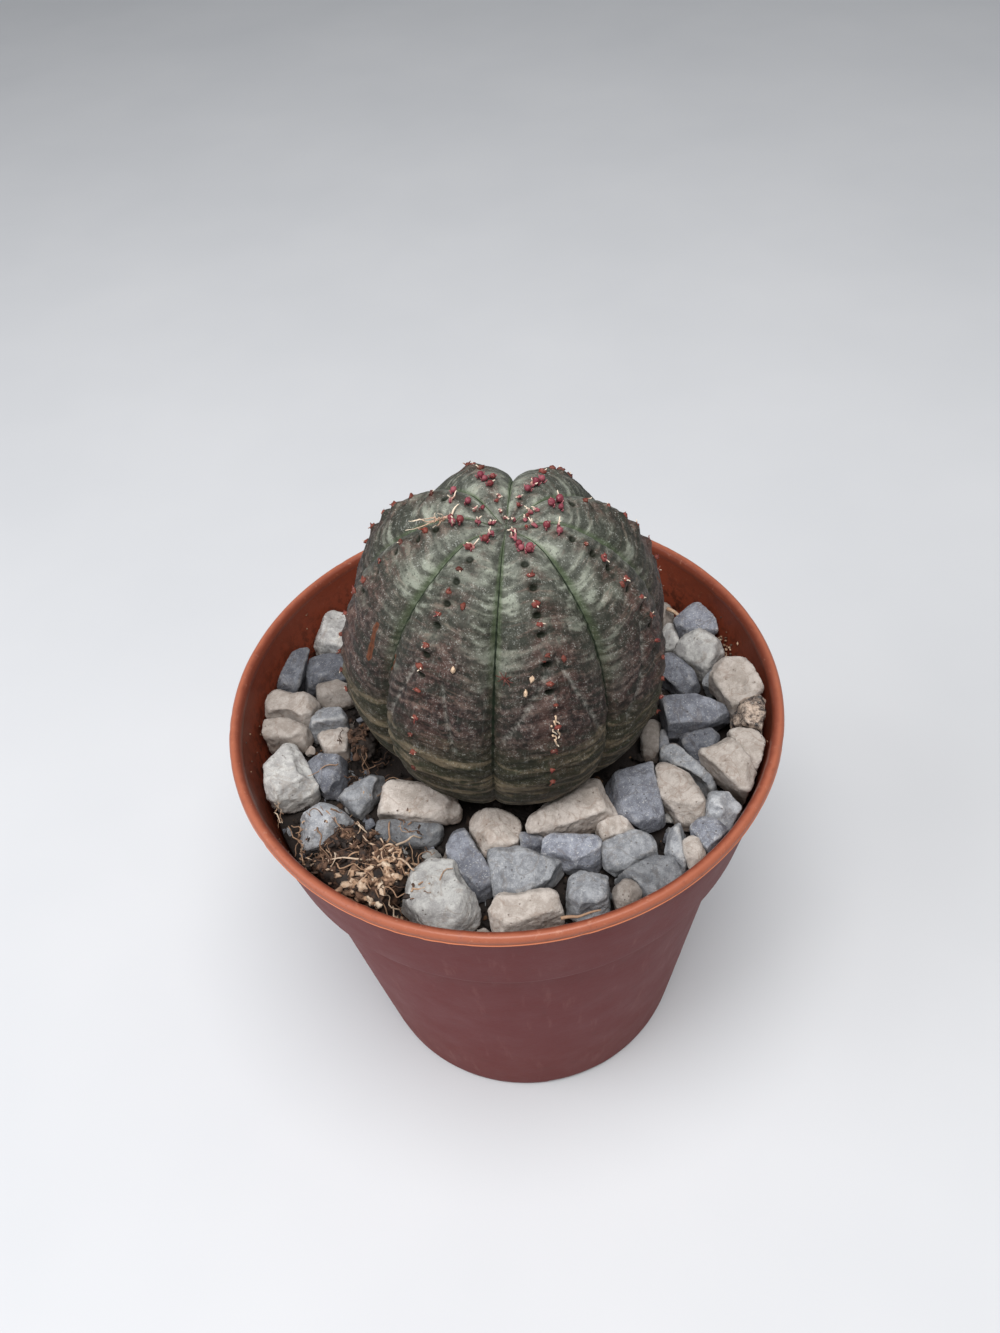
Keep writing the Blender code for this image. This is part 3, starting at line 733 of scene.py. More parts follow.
def pot_profile():
    """The pot's section from under the base, up the outside, over the lip and down the inside."""
    foot_inner = FOOT_RADIUS - FOOT_WIDTH
    outside = rounded([
        (0.0, FOOT_HEIGHT), (foot_inner - 0.4, FOOT_HEIGHT), (foot_inner, 0.0), (FOOT_RADIUS, 0.0),
        (WALL_FOOT - 0.1, 0.5), (WALL_FOOT + 0.1, 1.5), (WALL_TOP, BAND_BOTTOM - 0.6),
        (BAND_BOTTOM_RADIUS - 0.3, BAND_BOTTOM), (BAND_BOTTOM_RADIUS, BAND_BOTTOM + 0.6),
        (BAND_TOP_RADIUS, RIM - 1.4), (BAND_TOP_RADIUS + 0.03, RIM - 1.22),
    ], 0.45)
    lip = rounded([
        (LIP - 0.3, RIM - 1.2), (LIP - 0.05, RIM - 1.17), (LIP, RIM - 1.1), (LIP - 0.1, RIM - 1.02),
        (LIP - 0.13, RIM - 0.9), (LIP - 0.03, RIM - 0.66), (LIP - 0.1, RIM - 0.34), (LIP - 0.42, RIM - 0.03),
        (LIP - 0.8, RIM - 0.02), (LIP - 1.18, RIM - 0.22), (LIP - 1.4, RIM - 0.7), (LIP - 1.44, RIM - 1.1),
    ], 0.16)
    inside = rounded([
        (BAND_TOP_RADIUS - WALL, RIM - 1.5), (BAND_BOTTOM_RADIUS - WALL, BAND_BOTTOM + 0.5),
        (WALL_TOP - WALL, BAND_BOTTOM - 0.9), (WALL_FOOT - WALL, FOOT_HEIGHT + WALL + 1.0),
        (WALL_FOOT - WALL - 1.0, FOOT_HEIGHT + WALL), (0.0, FOOT_HEIGHT + WALL),
    ], 0.45)
    return with_rows(np.concatenate((outside, lip, inside)), 2.4)


def wall_inside(height):
    """The radius of the band's inner face at a height."""
    slope = (BAND_TOP_RADIUS - BAND_BOTTOM_RADIUS) / (RIM - BAND_BOTTOM)
    return BAND_TOP_RADIUS - WALL - slope * (RIM - height)


def inside_wall(place, size):
    """A place drawn in towards the axis, where a chip of this size would reach the wall."""
    reach = math.hypot(place[0], place[1])
    share = min(1.0, (wall_inside(place[2]) - CHIP_ROOM * size) / reach)
    return np.asarray(place) * (share, share, 1)


def in_mouth(degrees, inset, height):
    """A place in the pot's mouth: how far around, how far in from the lip, and how high."""
    turn = math.radians(degrees)
    return (LIP - inset) * math.cos(turn), (LIP - inset) * math.sin(turn), height


def pot_cutters():
    """The foot's notches and the drain holes, as solids to take out of the pot."""
    bm = bmesh.new()
    for index in range(NOTCHES):
        spoke = Matrix.Rotation(NOTCH_TURN + index * math.tau / NOTCHES, 4, "Z")
        slot = bmesh.ops.create_cube(bm, size=1.0)["verts"]
        bmesh.ops.scale(bm, vec=(FOOT_WIDTH * 2, NOTCH_WIDTH, FOOT_HEIGHT * 2 - 0.1), verts=slot)
        middle = Matrix.Translation((FOOT_RADIUS - FOOT_WIDTH / 2, 0, 0))
        bmesh.ops.transform(bm, matrix=spoke @ middle, verts=slot)
        drill = bmesh.ops.create_cone(
            bm, cap_ends=True, segments=48, radius1=DRAIN_RADIUS, radius2=DRAIN_RADIUS, depth=WALL * 4
        )["verts"]
        centre = Matrix.Translation((DRAIN_CIRCLE, 0, FOOT_HEIGHT + WALL / 2))
        bmesh.ops.transform(bm, matrix=spoke @ centre, verts=drill)
    bm.verts.index_update()
    points = [tuple(vert.co) for vert in bm.verts]
    faces = [tuple(vert.index for vert in face.verts) for face in bm.faces]
    bm.free()
    return points, faces


def make_pot():
    """The moulded pot, a little uneven along its lip, with scuffs and soil marked on it."""
    points, faces = turned(pot_profile(), POT_SEGMENTS)
    heading = np.arctan2(points[:, 1], points[:, 0])
    reach = np.hypot(points[:, 0], points[:, 1])
    around = np.stack((np.cos(heading), np.sin(heading), points[:, 2] * 0.02), axis=1)
    wave = lumps(around, 0.35, 2)
    lip_share = np.clip((points[:, 2] - (RIM - 1.25)) / 0.1, 0, 1)
    nicks = np.maximum(lumps(around, 0.035, 3, (9, 9, 9)) - 0.25, 0)
    shrink = 0.05 * np.abs(wave) + lip_share * 0.12 * nicks
    scale = np.where(reach > 1, 1 - shrink / np.maximum(reach, 1), 1)
    points[:, :2] *= scale[:, None]
    points[:, 2] -= lip_share * 0.04 * np.abs(wave)

    pot = working_object(points, faces)
    tool = working_object(*pot_cutters())
    cut = pot.modifiers.new("water_ways", "BOOLEAN")
    cut.operation = "DIFFERENCE"
    cut.solver = "EXACT"
    cut.object = tool
    tool.hide_render = True
    points, faces = evaluated(pot)
    bpy.data.objects.remove(tool)

    heading = np.degrees(np.arctan2(points[:, 1], points[:, 0]))
    reach = np.hypot(points[:, 0], points[:, 1])
    height = points[:, 2]
    wall = np.interp(height, (1.5, BAND_BOTTOM - 0.6, BAND_BOTTOM, RIM - 1.4),
                     (WALL_FOOT + 0.1, WALL_TOP, BAND_BOTTOM_RADIUS, BAND_TOP_RADIUS))
    outside = ((reach > wall - 0.45) | (height < FOOT_HEIGHT + 0.2)).astype(float)
    scuff = np.exp(-((height - 37.7) / 0.35) ** 2 - ((heading + 97) / 3.2) ** 2)
    scuff = scuff * (0.6 + 0.4 * lumps(points, 0.8))
    soil = (1 - outside) * np.clip((RIM - 1.5 - height) / 6.0, 0, 1)
    marks = {"outside": outside, "scuff": np.clip(scuff * outside, 0, 1), "soil": soil}
    add_piece("pot_shell", points, faces, pot_plastic(), ["pot"], marks, math.radians(38))


# ------------------------------------------------------------------------------- plant

def plant_place():
    """Where the plant stands, leaning a little to one side."""
    return Matrix.Translation(PLANT_CENTRE) @ Matrix.Rotation(PLANT_LEAN, 4, "Y")


def placed(points):
    """Points of the upright plant moved to where it stands."""
    matrix = np.array(plant_place())
    return points @ matrix[:3, :3].T + matrix[:3, 3]


def crest_point(polar):
    """The globe's crest radius and height at a polar angle from the crown."""
    radius = PLANT_RADIUS * np.sin(polar) ** SHOULDER
    height = PLANT_HALF_HEIGHT * np.cos(polar)
    height = np.where(height < 0, height * UNDERSIDE, height)
    return radius, height - CROWN_DIMPLE * np.exp(-((radius / CROWN_DIMPLE_RADIUS) ** 2))


def rib_section(across, polar):
    """How far the skin lies inside the crest, as a share of the radius: 0 on the crest."""
    side = np.abs(across)
    depth = 0.025 + 0.085 * np.cos(polar / 2) ** 2
    crease = (0.02 + 0.05 * np.cos(polar / 2) ** 2) * np.exp(-(1 - side) / 0.1)
    return depth * side**2.4 + crease


def skin(rib, across, polar):
    """Points of the smooth skin: rib number, -1 to 1 across it, and angle from the crown."""
    radius, height = crest_point(polar)
    reach = radius * (1 - rib_section(across, polar))
    height = height - GROOVE_DROP * np.abs(across) ** 2.2 * np.exp(-(((polar - 0.5) / 0.42) ** 2))
    angle = GROOVE_TURN + (rib + (across + 1) / 2) * math.tau / RIBS
    return np.stack((reach * np.cos(angle), reach * np.sin(angle), height + 0 * reach), axis=-1)


def tubercle_row(rib):
    """The tubercles along one rib: how far across it and how far down from the crown."""
    rng = np.random.default_rng(40 + rib)
    angles = FIRST_TUBERCLE + TUBERCLE_SPACING * np.arange(TUBERCLE_COUNT)
    angles = angles + rng.uniform(-TUBERCLE_UNEVENNESS, TUBERCLE_UNEVENNESS, TUBERCLE_COUNT)
    drift = CREST_DRIFT.get(rib, 0.0)
    return [(drift + rng.uniform(-0.05, 0.05), math.radians(angle)) for angle in angles]


def skin_spot(rib, across, polar):
    """A point on the plant with its own axes: towards the next rib, downwards and outwards."""
    step = 1e-3
    here = skin(rib, np.float64(across), np.float64(polar))
    sideways = skin(rib, np.float64(across + step), np.float64(polar)) - here
    downwards = skin(rib, np.float64(across), np.float64(polar + step)) - here
    sideways /= np.linalg.norm(sideways)
    outwards = np.cross(downwards, sideways)
    outwards /= np.linalg.norm(outwards)
    downwards = np.cross(sideways, outwards)
    turn = np.array(plant_place().to_3x3())
    return placed(here), turn @ np.stack((sideways, downwards, outwards), axis=1)


def skin_relief(rib, across, polar):
    """Height of tubercles, pits, bars and folds over the smooth skin, and the marks they leave."""
    radius, _ = crest_point(polar)
    half_rib = radius * math.pi / RIBS
    row = tubercle_row(rib)
    relief = np.zeros_like(across)
    pit = np.zeros_like(across)
    for place, angle in row:
        x = (across - place) * half_rib
        y = (polar - angle) * PLANT_RADIUS
        size = 1.0 if angle < math.radians(62) else 0.62
        relief += 0.5 * size * np.exp(-(x / 0.85) ** 2 - ((y + 0.1) / 0.8) ** 2)
        # A dent below each tubercle; its mask also carries the painted shadow under the stub.
        hole = np.exp(-(x / 0.44) ** 2 - ((y - 0.98) / 0.34) ** 2)
        relief -= 0.75 * size * hole
        pit = np.maximum(pit, hole * size**2)
    angles = np.array([0.0] + [angle for _, angle in row] + [math.pi])
    steps = np.concatenate(([-1.0], np.arange(len(row)), [len(row) + 5.0]))
    slant = (0.03 + 0.07 * np.clip(polar, 0, 1.6)) * np.abs(across) ** 1.3
    band = np.interp(polar - slant, angles, steps)
    rise = np.sin(np.clip(polar, 0, math.pi / 2)) * (1 - 0.6 * np.abs(across))
    relief += 0.1 * rise * np.cos(math.tau * band)
    relief += 0.05 * np.cos(math.tau * (band * 2.7 + 0.3 * rib)) * np.sin(polar)
    relief -= 0.1 * np.exp(-((polar - 1.53 - 0.05 * np.sin(3 * across)) / 0.02) ** 2)
    relief -= 0.08 * np.exp(-((polar - 1.66 - 0.03 * np.sin(2 * across + rib)) / 0.02) ** 2)
    return relief, pit, band


def fold(across, polar, start, end, width):
    """How near a skin point lies to a straight fold between two places on a rib, 0 to 1."""
    start, end = np.array(start), np.array(end)
    along = end - start
    scale = np.array((PLANT_RADIUS * math.pi / RIBS, PLANT_RADIUS))
    offset = np.stack((across, polar), axis=-1) - start
    share = np.clip(((offset * scale**2) @ along) / ((along * scale) @ (along * scale)), 0, 1)
    distance = np.linalg.norm((offset - share[..., None] * along) * scale, axis=-1)
    return np.exp(-(distance / width) ** 2)


# Folds and scars: rib, start and end as (across, degrees from the crown), width in millimetres
FOLDS = (
    (0, (-0.09, 52), (-0.86, 82), 0.32),
    (0, (0.05, 50), (0.72, 84), 0.3),
    (7, (-0.3, 56), (-0.75, 84), 0.3),
    (7, (0.2, 60), (0.45, 86), 0.25),
    (1, (-0.1, 56), (-0.7, 88), 0.3),
    (4, (0.0, 52), (0.7, 84), 0.3),
)
SCARS = (
    (6, (0.6, 56), (0.66, 69), 0.42),
    (7, (-0.84, 62), (-0.93, 70), 0.34),
    (3, (0.3, 48), (0.42, 58), 0.4),
    (2, (-0.5, 66), (-0.4, 72), 0.35),
)


def make_plant():
    """The ribbed body, with every tubercle, pit, bar, fold and scar in its skin."""
    polar = np.radians(BODY_END) * (np.arange(1, BODY_ROWS + 1) / BODY_ROWS)
    across = np.linspace(-1, 1, RIB_COLUMNS, endpoint=False)
    grid_across, grid_polar = np.meshgrid(across, polar)
    columns = {key: [] for key in ("points", "relief", "pit", "band", "rust", "seam", "side", "edge")}
    for rib in range(RIBS):
        relief, pit, band = skin_relief(rib, grid_across, grid_polar)
        rust = np.zeros_like(relief)
        seam = np.zeros_like(relief)
        for owner, start, end, width in FOLDS:
            if owner == rib:
                ends = [(place, math.radians(angle)) for place, angle in (start, end)]
                relief -= 0.4 * fold(grid_across, grid_polar, *ends, width * 1.4)
                seam = np.maximum(seam, fold(grid_across, grid_polar, *ends, width * 0.7))
        for owner, start, end, width in SCARS:
            if owner == rib:
                ends = [(place, math.radians(angle)) for place, angle in (start, end)]
                rust = np.maximum(rust, fold(grid_across, grid_polar, *ends, width))
        relief -= 0.06 * rust
        columns["points"].append(skin(rib, grid_across, grid_polar))
        columns["relief"].append(relief)
        columns["pit"].append(pit)
        columns["band"].append(band)
        columns["rust"].append(rust)
        columns["seam"].append(seam)
        turn_number = rib if rib < RIBS / 2 else rib - RIBS
        columns["side"].append(turn_number * 2 + grid_across)
        columns["edge"].append(np.abs(grid_across))
    points = np.concatenate(columns.pop("points"), axis=1)
    marks = {key: np.concatenate(parts, axis=1) for key, parts in columns.items()}
    relief = marks.pop("relief")
    marks["down"] = np.repeat(polar[:, None] / math.pi, points.shape[1], axis=1)

    width = points.shape[1]
    sideways = np.roll(points, -1, axis=1) - np.roll(points, 1, axis=1)
    downwards = np.gradient(points, axis=0)
    outwards = np.cross(downwards, sideways)
    outwards /= np.maximum(np.linalg.norm(outwards, axis=2), 1e-9)[..., None]
    flat = points.reshape(-1, 3)
    grain = lumps(flat, 2.6, 3) * 0.09 + lumps(flat, 0.8, 2, (5, 5, 5)) * 0.035
    soft = np.clip(np.sin(marks["down"] * math.pi) * 2, 0, 1)
    points = points + outwards * ((relief + grain.reshape(relief.shape)) * soft)[..., None]

    stem_rows = []
    start = points[-1]
    for radius, height in STEM_BASE:
        heading = np.arctan2(start[:, 1], start[:, 0])
        ring = np.stack((radius * np.cos(heading), radius * np.sin(heading), np.full(width, height)), axis=1)
        stem_rows.append(ring + 0.25 * lumps(ring, 1.4, 3)[:, None])
    body = np.concatenate((points, np.array(stem_rows)), axis=0)
    rows = len(body)
    corners = np.concatenate((
        body.reshape(-1, 3),
        [(0, 0, crest_point(np.float64(0.0))[1]), (0, 0, STEM_BASE[-1][1])],
    ))
    top, bottom = rows * width, rows * width + 1
    faces = []
    for i in range(width):
        j = (i + 1) % width
        faces += [(row * width + i, (row + 1) * width + i, (row + 1) * width + j, row * width + j)
                  for row in range(rows - 1)]
        faces.append((top, i, j))
        faces.append(((rows - 1) * width + i, bottom, (rows - 1) * width + j))
    for key, grid in marks.items():
        tail = np.repeat(grid[-1:], len(STEM_BASE), axis=0)
        full = np.concatenate((grid, tail)).ravel()
        marks[key] = np.concatenate((full, [full[0], full[-1]]))
    marks["down"][-2] = 0.0
    add_piece("plant_body", placed(corners), faces, plant_skin(), ["baseball_plant"], marks)


def make_flower_remains():
    """What the tubercles carry: rusty stubs down the ribs, buds and bracts around the crown."""
    rng = np.random.default_rng(12)
    remains = Bundle()

    def stub(rib, across, polar, size, tint):
        spot, axes = skin_spot(rib, across, polar)
        sizes = np.array((0.85, 0.6, 0.62)) * size
        remains.add(lump(rng, spot + axes[:, 2] * (0.34 + 0.12 * size), sizes, axes, 0.45), tint)
        for _ in range(rng.integers(1, 4)):
            lean = axes @ np.array((rng.uniform(-0.6, 0.6), rng.uniform(-0.5, 0.7), 1.0))
            reach = rng.uniform(0.2, 0.6) * size
            path = curl(rng, spot + axes[:, 2] * 0.4, spot + lean * (0.4 + reach), 0.2, 5)
            shape, share = strand(path, 0.26 * size, 0.35)
            remains.add(shape, tint + rng.uniform(-0.05, 0.15), share * rng.choice((0.2, 0.6, 1.0)))

    def bud(rib, across, polar, size, tint=0.5):
        size *= 0.76
        spot, axes = skin_spot(rib, across, math.radians(polar))
        sizes = (size, size * 0.95, size * 1.1)
        shape = lump(rng, spot + axes[:, 2] * (0.3 + 0.42 * size), sizes, axes, 0.07)
        remains.add(shape, tint + rng.uniform(-0.14, 0.12))
        for side in (-1, 1):
            foot = spot + axes @ np.array((side * 0.4 * size, 0.1, 0.2))
            tip = spot + axes @ np.array((side * 0.72 * size, 0.15, 0.35 + 0.5 * size))
            shape, share = strand(curl(rng, foot, tip, 0.15, 5), 0.3 * size, 0.4)
            remains.add(shape, 0.66, 0.5 * share)

    def bract(rib, across, polar, length, lean, tint=0.68):
        spot, axes = skin_spot(rib, across, math.radians(polar))
        for side in (-1, 1):
            reach = np.array((side * rng.uniform(0.12, 0.4) + lean, rng.uniform(-0.7, 0.3), 0.9))
            tip = spot + axes @ reach * length
            shape, share = strand(curl(rng, spot + axes[:, 2] * 0.15, tip, 0.3, 7), 0.36, 0.25)
            remains.add(shape, tint + rng.uniform(-0.1, 0.12), share)

    for rib in range(RIBS):
        for across, polar in tubercle_row(rib):
            degrees = math.degrees(polar)
            if degrees < 16:
                continue
            size = rng.uniform(0.75, 1.1) if degrees < 62 else rng.uniform(0.55, 0.85)
            stub(rib, across, polar - math.radians(0.4), size, rng.uniform(0.08, 0.34))

    for rib in range(RIBS):
        drift = CREST_DRIFT.get(rib, 0.0)
        bud(rib, drift + rng.uniform(-0.2, 0.2), rng.uniform(4.2, 6.0), rng.uniform(0.5, 0.65), 0.46)
        bud(rib, drift + rng.uniform(-0.15, 0.15), rng.uniform(9.5, 11.5), rng.uniform(0.75, 1.1), 0.5)
        for nearest, furthest in ((6.0, 8.0), (12.0, 14.5)):
            across, polar = drift + rng.uniform(-0.3, 0.3), rng.uniform(nearest, furthest)
            bract(rib, across, polar, rng.uniform(0.8, 1.3), rng.uniform(-0.3, 0.3))
        for _ in range(rng.integers(1, 4)):
            across, polar = drift + rng.uniform(-0.35, 0.35), rng.uniform(12.5, 17.0)
            bud(rib, across, polar, rng.uniform(0.8, 1.15), rng.uniform(0.46, 0.56))
    for _ in range(9):
        rib, across = int(rng.integers(RIBS)), rng.uniform(-0.8, 0.8)
        bract(rib, across, rng.uniform(1.5, 6.0), rng.uniform(0.5, 1.1), rng.uniform(-0.4, 0.4), 0.62)

    spot, axes = skin_spot(6, -0.62, math.radians(17))
    for _ in range(9):
        reach = axes @ np.array((rng.uniform(0.2, 3.4), rng.uniform(-1.6, 3.2), rng.uniform(0.4, 1.4)))
        shape, share = strand(curl(rng, spot + axes[:, 2] * 0.3, spot + reach, 0.7, 9), 0.14, 0.4)
        remains.add(shape, 0.9, share)
    shape, share = strand(curl(rng, spot, spot + axes @ np.array((-2.0, -1.6, 1.0)), 0.4, 9), 0.42, 0.3)
    remains.add(shape, 0.86, share)

    for start in np.linspace(69, 78, 6):
        end = start + 3.5
        first, axes = skin_spot(0, rng.uniform(-0.16, -0.06), math.radians(start))
        last, _ = skin_spot(0, rng.uniform(-0.1, 0.0), math.radians(end))
        path = curl(rng, first + axes[:, 2] * 0.3, last + axes[:, 2] * 0.35, 0.45, 7)
        shape, share = strand(path, 0.22, 0.5)
        remains.add(shape, 0.95, share)

    for _ in range(7):
        rib, across, polar = rng.choice((7, 0, 1)), rng.uniform(-0.9, 0.9), math.radians(rng.uniform(33, 66))
        spot, axes = skin_spot(rib, across, polar)
        remains.add(lump(rng, spot + axes[:, 2] * 0.2, (0.42, 0.75, 0.4), axes, 0.4), rng.choice((0.2, 0.95)))
    spot, axes = skin_spot(0, -0.8, math.radians(57))
    for turn in np.linspace(0, math.tau, 8, endpoint=False):
        ray = axes @ np.array((math.cos(turn) * 1.0, math.sin(turn) * 0.75, 0.25))
        shape, share = strand(curl(rng, spot + axes[:, 2] * 0.15, spot + ray, 0.2, 5), 0.16, 0.4)
        remains.add(shape, 0.1, 0.4 * share)
    remains.make("flower_remains", bud_skin())


# ------------------------------------------------------------------------------- gravel

class Wear(NamedTuple):
    """How a kind of stone is broken and worn."""

    rounding: int  # how many times its edges are relaxed
    breaks_struck: int  # how many flats and hollows are struck from it
    lumps: float  # depth of its broad hollows, in millimetres
    breaks: float  # depth of its small breaks
    pits: float  # depth of its pores


STONE_SKIN = 0.2
STONE_SWELL = 0.2
WEARS = {
    "slate": Wear(1, 6, 0.1, 0.12, 0.03),
    "grey_limestone": Wear(1, 6, 0.14, 0.16, 0.05),
    "pale_limestone": Wear(2, 5, 0.2, 0.16, 0.06),
    "cream_limestone": Wear(2, 5, 0.18, 0.15, 0.06),
    "mottled_chert": Wear(3, 6, 0.3, 0.3, 0.12),
}


# Stones that stand out from the others of their kind; some of the darker ones lie in shade, and their
# darkening is painted shade
DARK_AND_SHADED_STONES = (
    "slate_01", "slate_02", "slate_10", "grey_limestone_04", "grey_limestone_08",
    "cream_limestone_01", "cream_limestone_09", "cream_limestone_13", "cream_limestone_17",
)
LIGHT_STONES = (
    "slate_06", "slate_13", "grey_limestone_03", "grey_limestone_10", "pale_limestone_02",
    "cream_limestone_05", "cream_limestone_06", "cream_limestone_08",
)
DARK_SHADE = 0.6
LIGHT_SHADE = 1.2
USUAL_SHADE = (0.84, 1.02)  # the lightness of the rest is drawn from this range


def shade_of(node, rng):
    """How light a stone is beside the others of its kind, with painted shade on some of the darker ones."""
    drawn = rng.uniform(*USUAL_SHADE)
    if node in DARK_AND_SHADED_STONES:
        return DARK_SHADE
    return LIGHT_SHADE if node in LIGHT_STONES else drawn


def struck(points, outwards, rng, count):
    """Points with flat breaks and shell-shaped hollows struck from them, each with a crisp edge."""
    points = points.copy()
    size = np.ptp(points, axis=0).min()
    for number in range(count):
        pick = rng.integers(len(points))
        facing = outwards[pick] + 0.5 * rng.normal(size=3)
        facing /= np.linalg.norm(facing)
        furthest = points[(points @ facing).argmax()]
        if number % 2:
            depth = size * rng.uniform(0.07, 0.17)
            beyond = np.maximum((points - furthest) @ facing + depth, 0)
            points -= beyond[:, None] * facing
        else:
            radius = size * rng.uniform(0.6, 1.6)
            centre = points[pick] + outwards[pick] * (radius - size * rng.uniform(0.06, 0.16))
            away = points - centre
            distance = np.linalg.norm(away, axis=1)
            inside = distance < radius
            points[inside] = centre + away[inside] / distance[inside, None] * radius
    return points


def weathered(node, wear, rng):
    """A stone's worn skin from its plain block, and the marks its finish reads."""
    points, faces = even_skin(*cad_solid(node), STONE_SKIN)
    points = struck(points, normals_of(relaxed(points, faces, 6), faces), rng, wear.breaks_struck)
    worn = relaxed(points, faces, wear.rounding)
    soft = relaxed(worn, faces, 10)
    outwards = normals_of(soft, faces)
    corner = ((worn - soft) * outwards).sum(axis=1) / 0.16
    shift = rng.uniform(0, 90, 3)
    broad = lumps(worn, 3.4, 2, shift)
    breaks = 0.25 - np.abs(lumps(worn, 1.5, 4, shift + 7))
    fine = lumps(worn, 0.45, 2, shift + 13)
    relief = wear.lumps * broad + wear.breaks * breaks + wear.pits * fine
    worn = worn + outwards * (relief + STONE_SWELL)[:, None]
    low = (worn[:, 2].max() - worn[:, 2]) / np.ptp(worn[:, 2])
    marks = {
        "corner": np.clip(corner, 0, 1),
        "relief": breaks + 0.6 * fine,
        "low": low,
    }
    return worn, faces, marks


def make_stones(surfaces):
    """Every stone of the top dressing, in place of its plain block."""
    rng, shade_rng = np.random.default_rng(21), np.random.default_rng(22)
    for kind, wear in WEARS.items():
        for node in sorted(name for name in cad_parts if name.startswith(kind)):
            points, faces, marks = weathered(node, wear, rng)
            marks["tint"] = np.full(len(points), shade_of(node, shade_rng))
            add_piece(f"{node}_stone", points, faces, surfaces[kind], [node], marks)


# What lies loose between the stones: how many, smallest and largest size, and lift off the mix as
# a share of the size
LOOSE_STONES = ((26, 2.0, 2.8, 0.7), (190, 0.6, 1.9, 0.25))


class Bed:
    """The CAD solids as one tree, to find what lies under a place in the pot's mouth."""

    def __init__(self):
        points, faces, count = [], [], 0
        self.owner = []
        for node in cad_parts:
            corners, sides = cad_solid(node)
            points += [tuple(corner) for corner in corners]
            faces += [tuple(index + count for index in side) for side in sides]
            self.owner += [node] * len(sides)
            count += len(corners)
        self.tree = BVHTree.FromPolygons(points, faces)

    def under(self, x, y):
        """The height of the first thing under a place, and its name; nothing beyond the lip."""
        spot, _, index, _ = self.tree.ray_cast(Vector((x, y, RIM + 60)), Vector((0, 0, -1)))
        return (spot.z, self.owner[index]) if spot else (MIX_TOP, None)

    def drop(self, x, y):
        """The height of the gravel or the mix under a place; under the plant, the mix."""
        height, node = self.under(x, y)
        return MIX_TOP + 0.8 if node == "baseball_plant" else height

    def gaps(self, rng, count, nodes=("potting_mix",), reach=29.5):
        """Places seen from above where one of these nodes lies open."""
        found = []
        for _ in range(count * 60):
            radius, heading = reach * math.sqrt(rng.uniform(0, 1)), rng.uniform(0, math.tau)
            x, y = radius * math.cos(heading), radius * math.sin(heading)
            height, node = self.under(x, y)
            if node in nodes:
                found.append(np.array((x, y, height)))
            if len(found) == count:
                break
        return found


def make_grit(surfaces, bed):
    """Chips and grit down between the stones, one piece for each kind."""
    rng = np.random.default_rng(5)
    heaps = {kind: Bundle() for kind in ("slate", "grey_limestone", "pale_limestone", "cream_limestone")}
    for count, smallest, largest, lift in LOOSE_STONES:
        for place in bed.gaps(rng, count):
            kind = rng.choice(list(heaps), p=(0.42, 0.22, 0.14, 0.22))
            size = rng.uniform(smallest, largest)
            sizes = size * rng.uniform((0.9, 0.7, 0.5), (1.3, 1.0, 0.8))
            place = inside_wall(place + (0, 0, lift * size), size)
            axes = frame_towards(rng.normal(size=3))
            heaps[kind].add(shard(rng, place, sizes, axes), rng.uniform(0.5, 0.95))
    for kind, heap in heaps.items():
        grit = heap.make(f"{kind}_grit", surfaces[kind], kind, (), math.radians(40))
        low = grit.data.attributes.new("low", "FLOAT", "POINT")
        low.data.foreach_set("value", np.full(heap.count, 0.5, dtype=np.float32))


# ------------------------------------------------------------------------------- mix and fibres

def make_mix(bed):
    """The potting mix with a crumbly top, and loose crumbs in the gaps."""
    rng = np.random.default_rng(9)
    soil = mix_soil_and_shade()
    points, faces = even_skin(*cad_solid("potting_mix"), 0.6)
    top = np.clip((points[:, 2] - (MIX_TOP - 1.2)) / 1.0, 0, 1)
    points[:, 2] += top * (0.55 * lumps(points, 2.2, 4) + 0.3 * np.abs(lumps(points, 0.8, 2)))
    tint = np.clip(0.5 + 0.4 * lumps(points, 4.0, 2), 0, 1)
    add_piece("potting_mix_bed", points, faces, soil, ["potting_mix"], {"tint": 0.6 * tint})

    crumbs = Bundle()
    places = bed.gaps(rng, 700)
    for _ in range(260):
        radius, heading = rng.uniform(10.5, 18.5), rng.uniform(0, math.tau)
        places.append(np.array((radius * math.cos(heading), radius * math.sin(heading), MIX_TOP + 0.3)))
    for place in places:
        size = rng.uniform(0.35, 1.4)
        shape = lump(rng, place + (0, 0, 0.2 * size), size * rng.uniform(0.6, 1.0, 3), None, 0.45, 2)
        crumbs.add(shape, rng.uniform(0, 1) ** 2)
    crumbs.make("mix_crumbs", soil, "potting_mix")


def rough_clump(node, name, size, depth, finish):
    """A clump of matted fibre in place of its plain block, all holes and lumps."""
    points, faces = even_skin(*cad_solid(node), size)
    points = relaxed(points, faces, 6)
    outwards = normals_of(points, faces)
    relief = depth * (1.3 * lumps(points, 1.7, 4) - 0.5) + 0.5 * depth * lumps(points, 0.5, 3)
    points = points + outwards * relief[:, None]
    tint = np.clip(0.08 + 0.5 * lumps(points, 0.9, 3), 0, 1)
    add_piece(name, points, faces, finish, [node], {"tint": tint})


DIRT_SPREAD = (199, 217)  # where dirt has gathered along the wall, in degrees around the pot


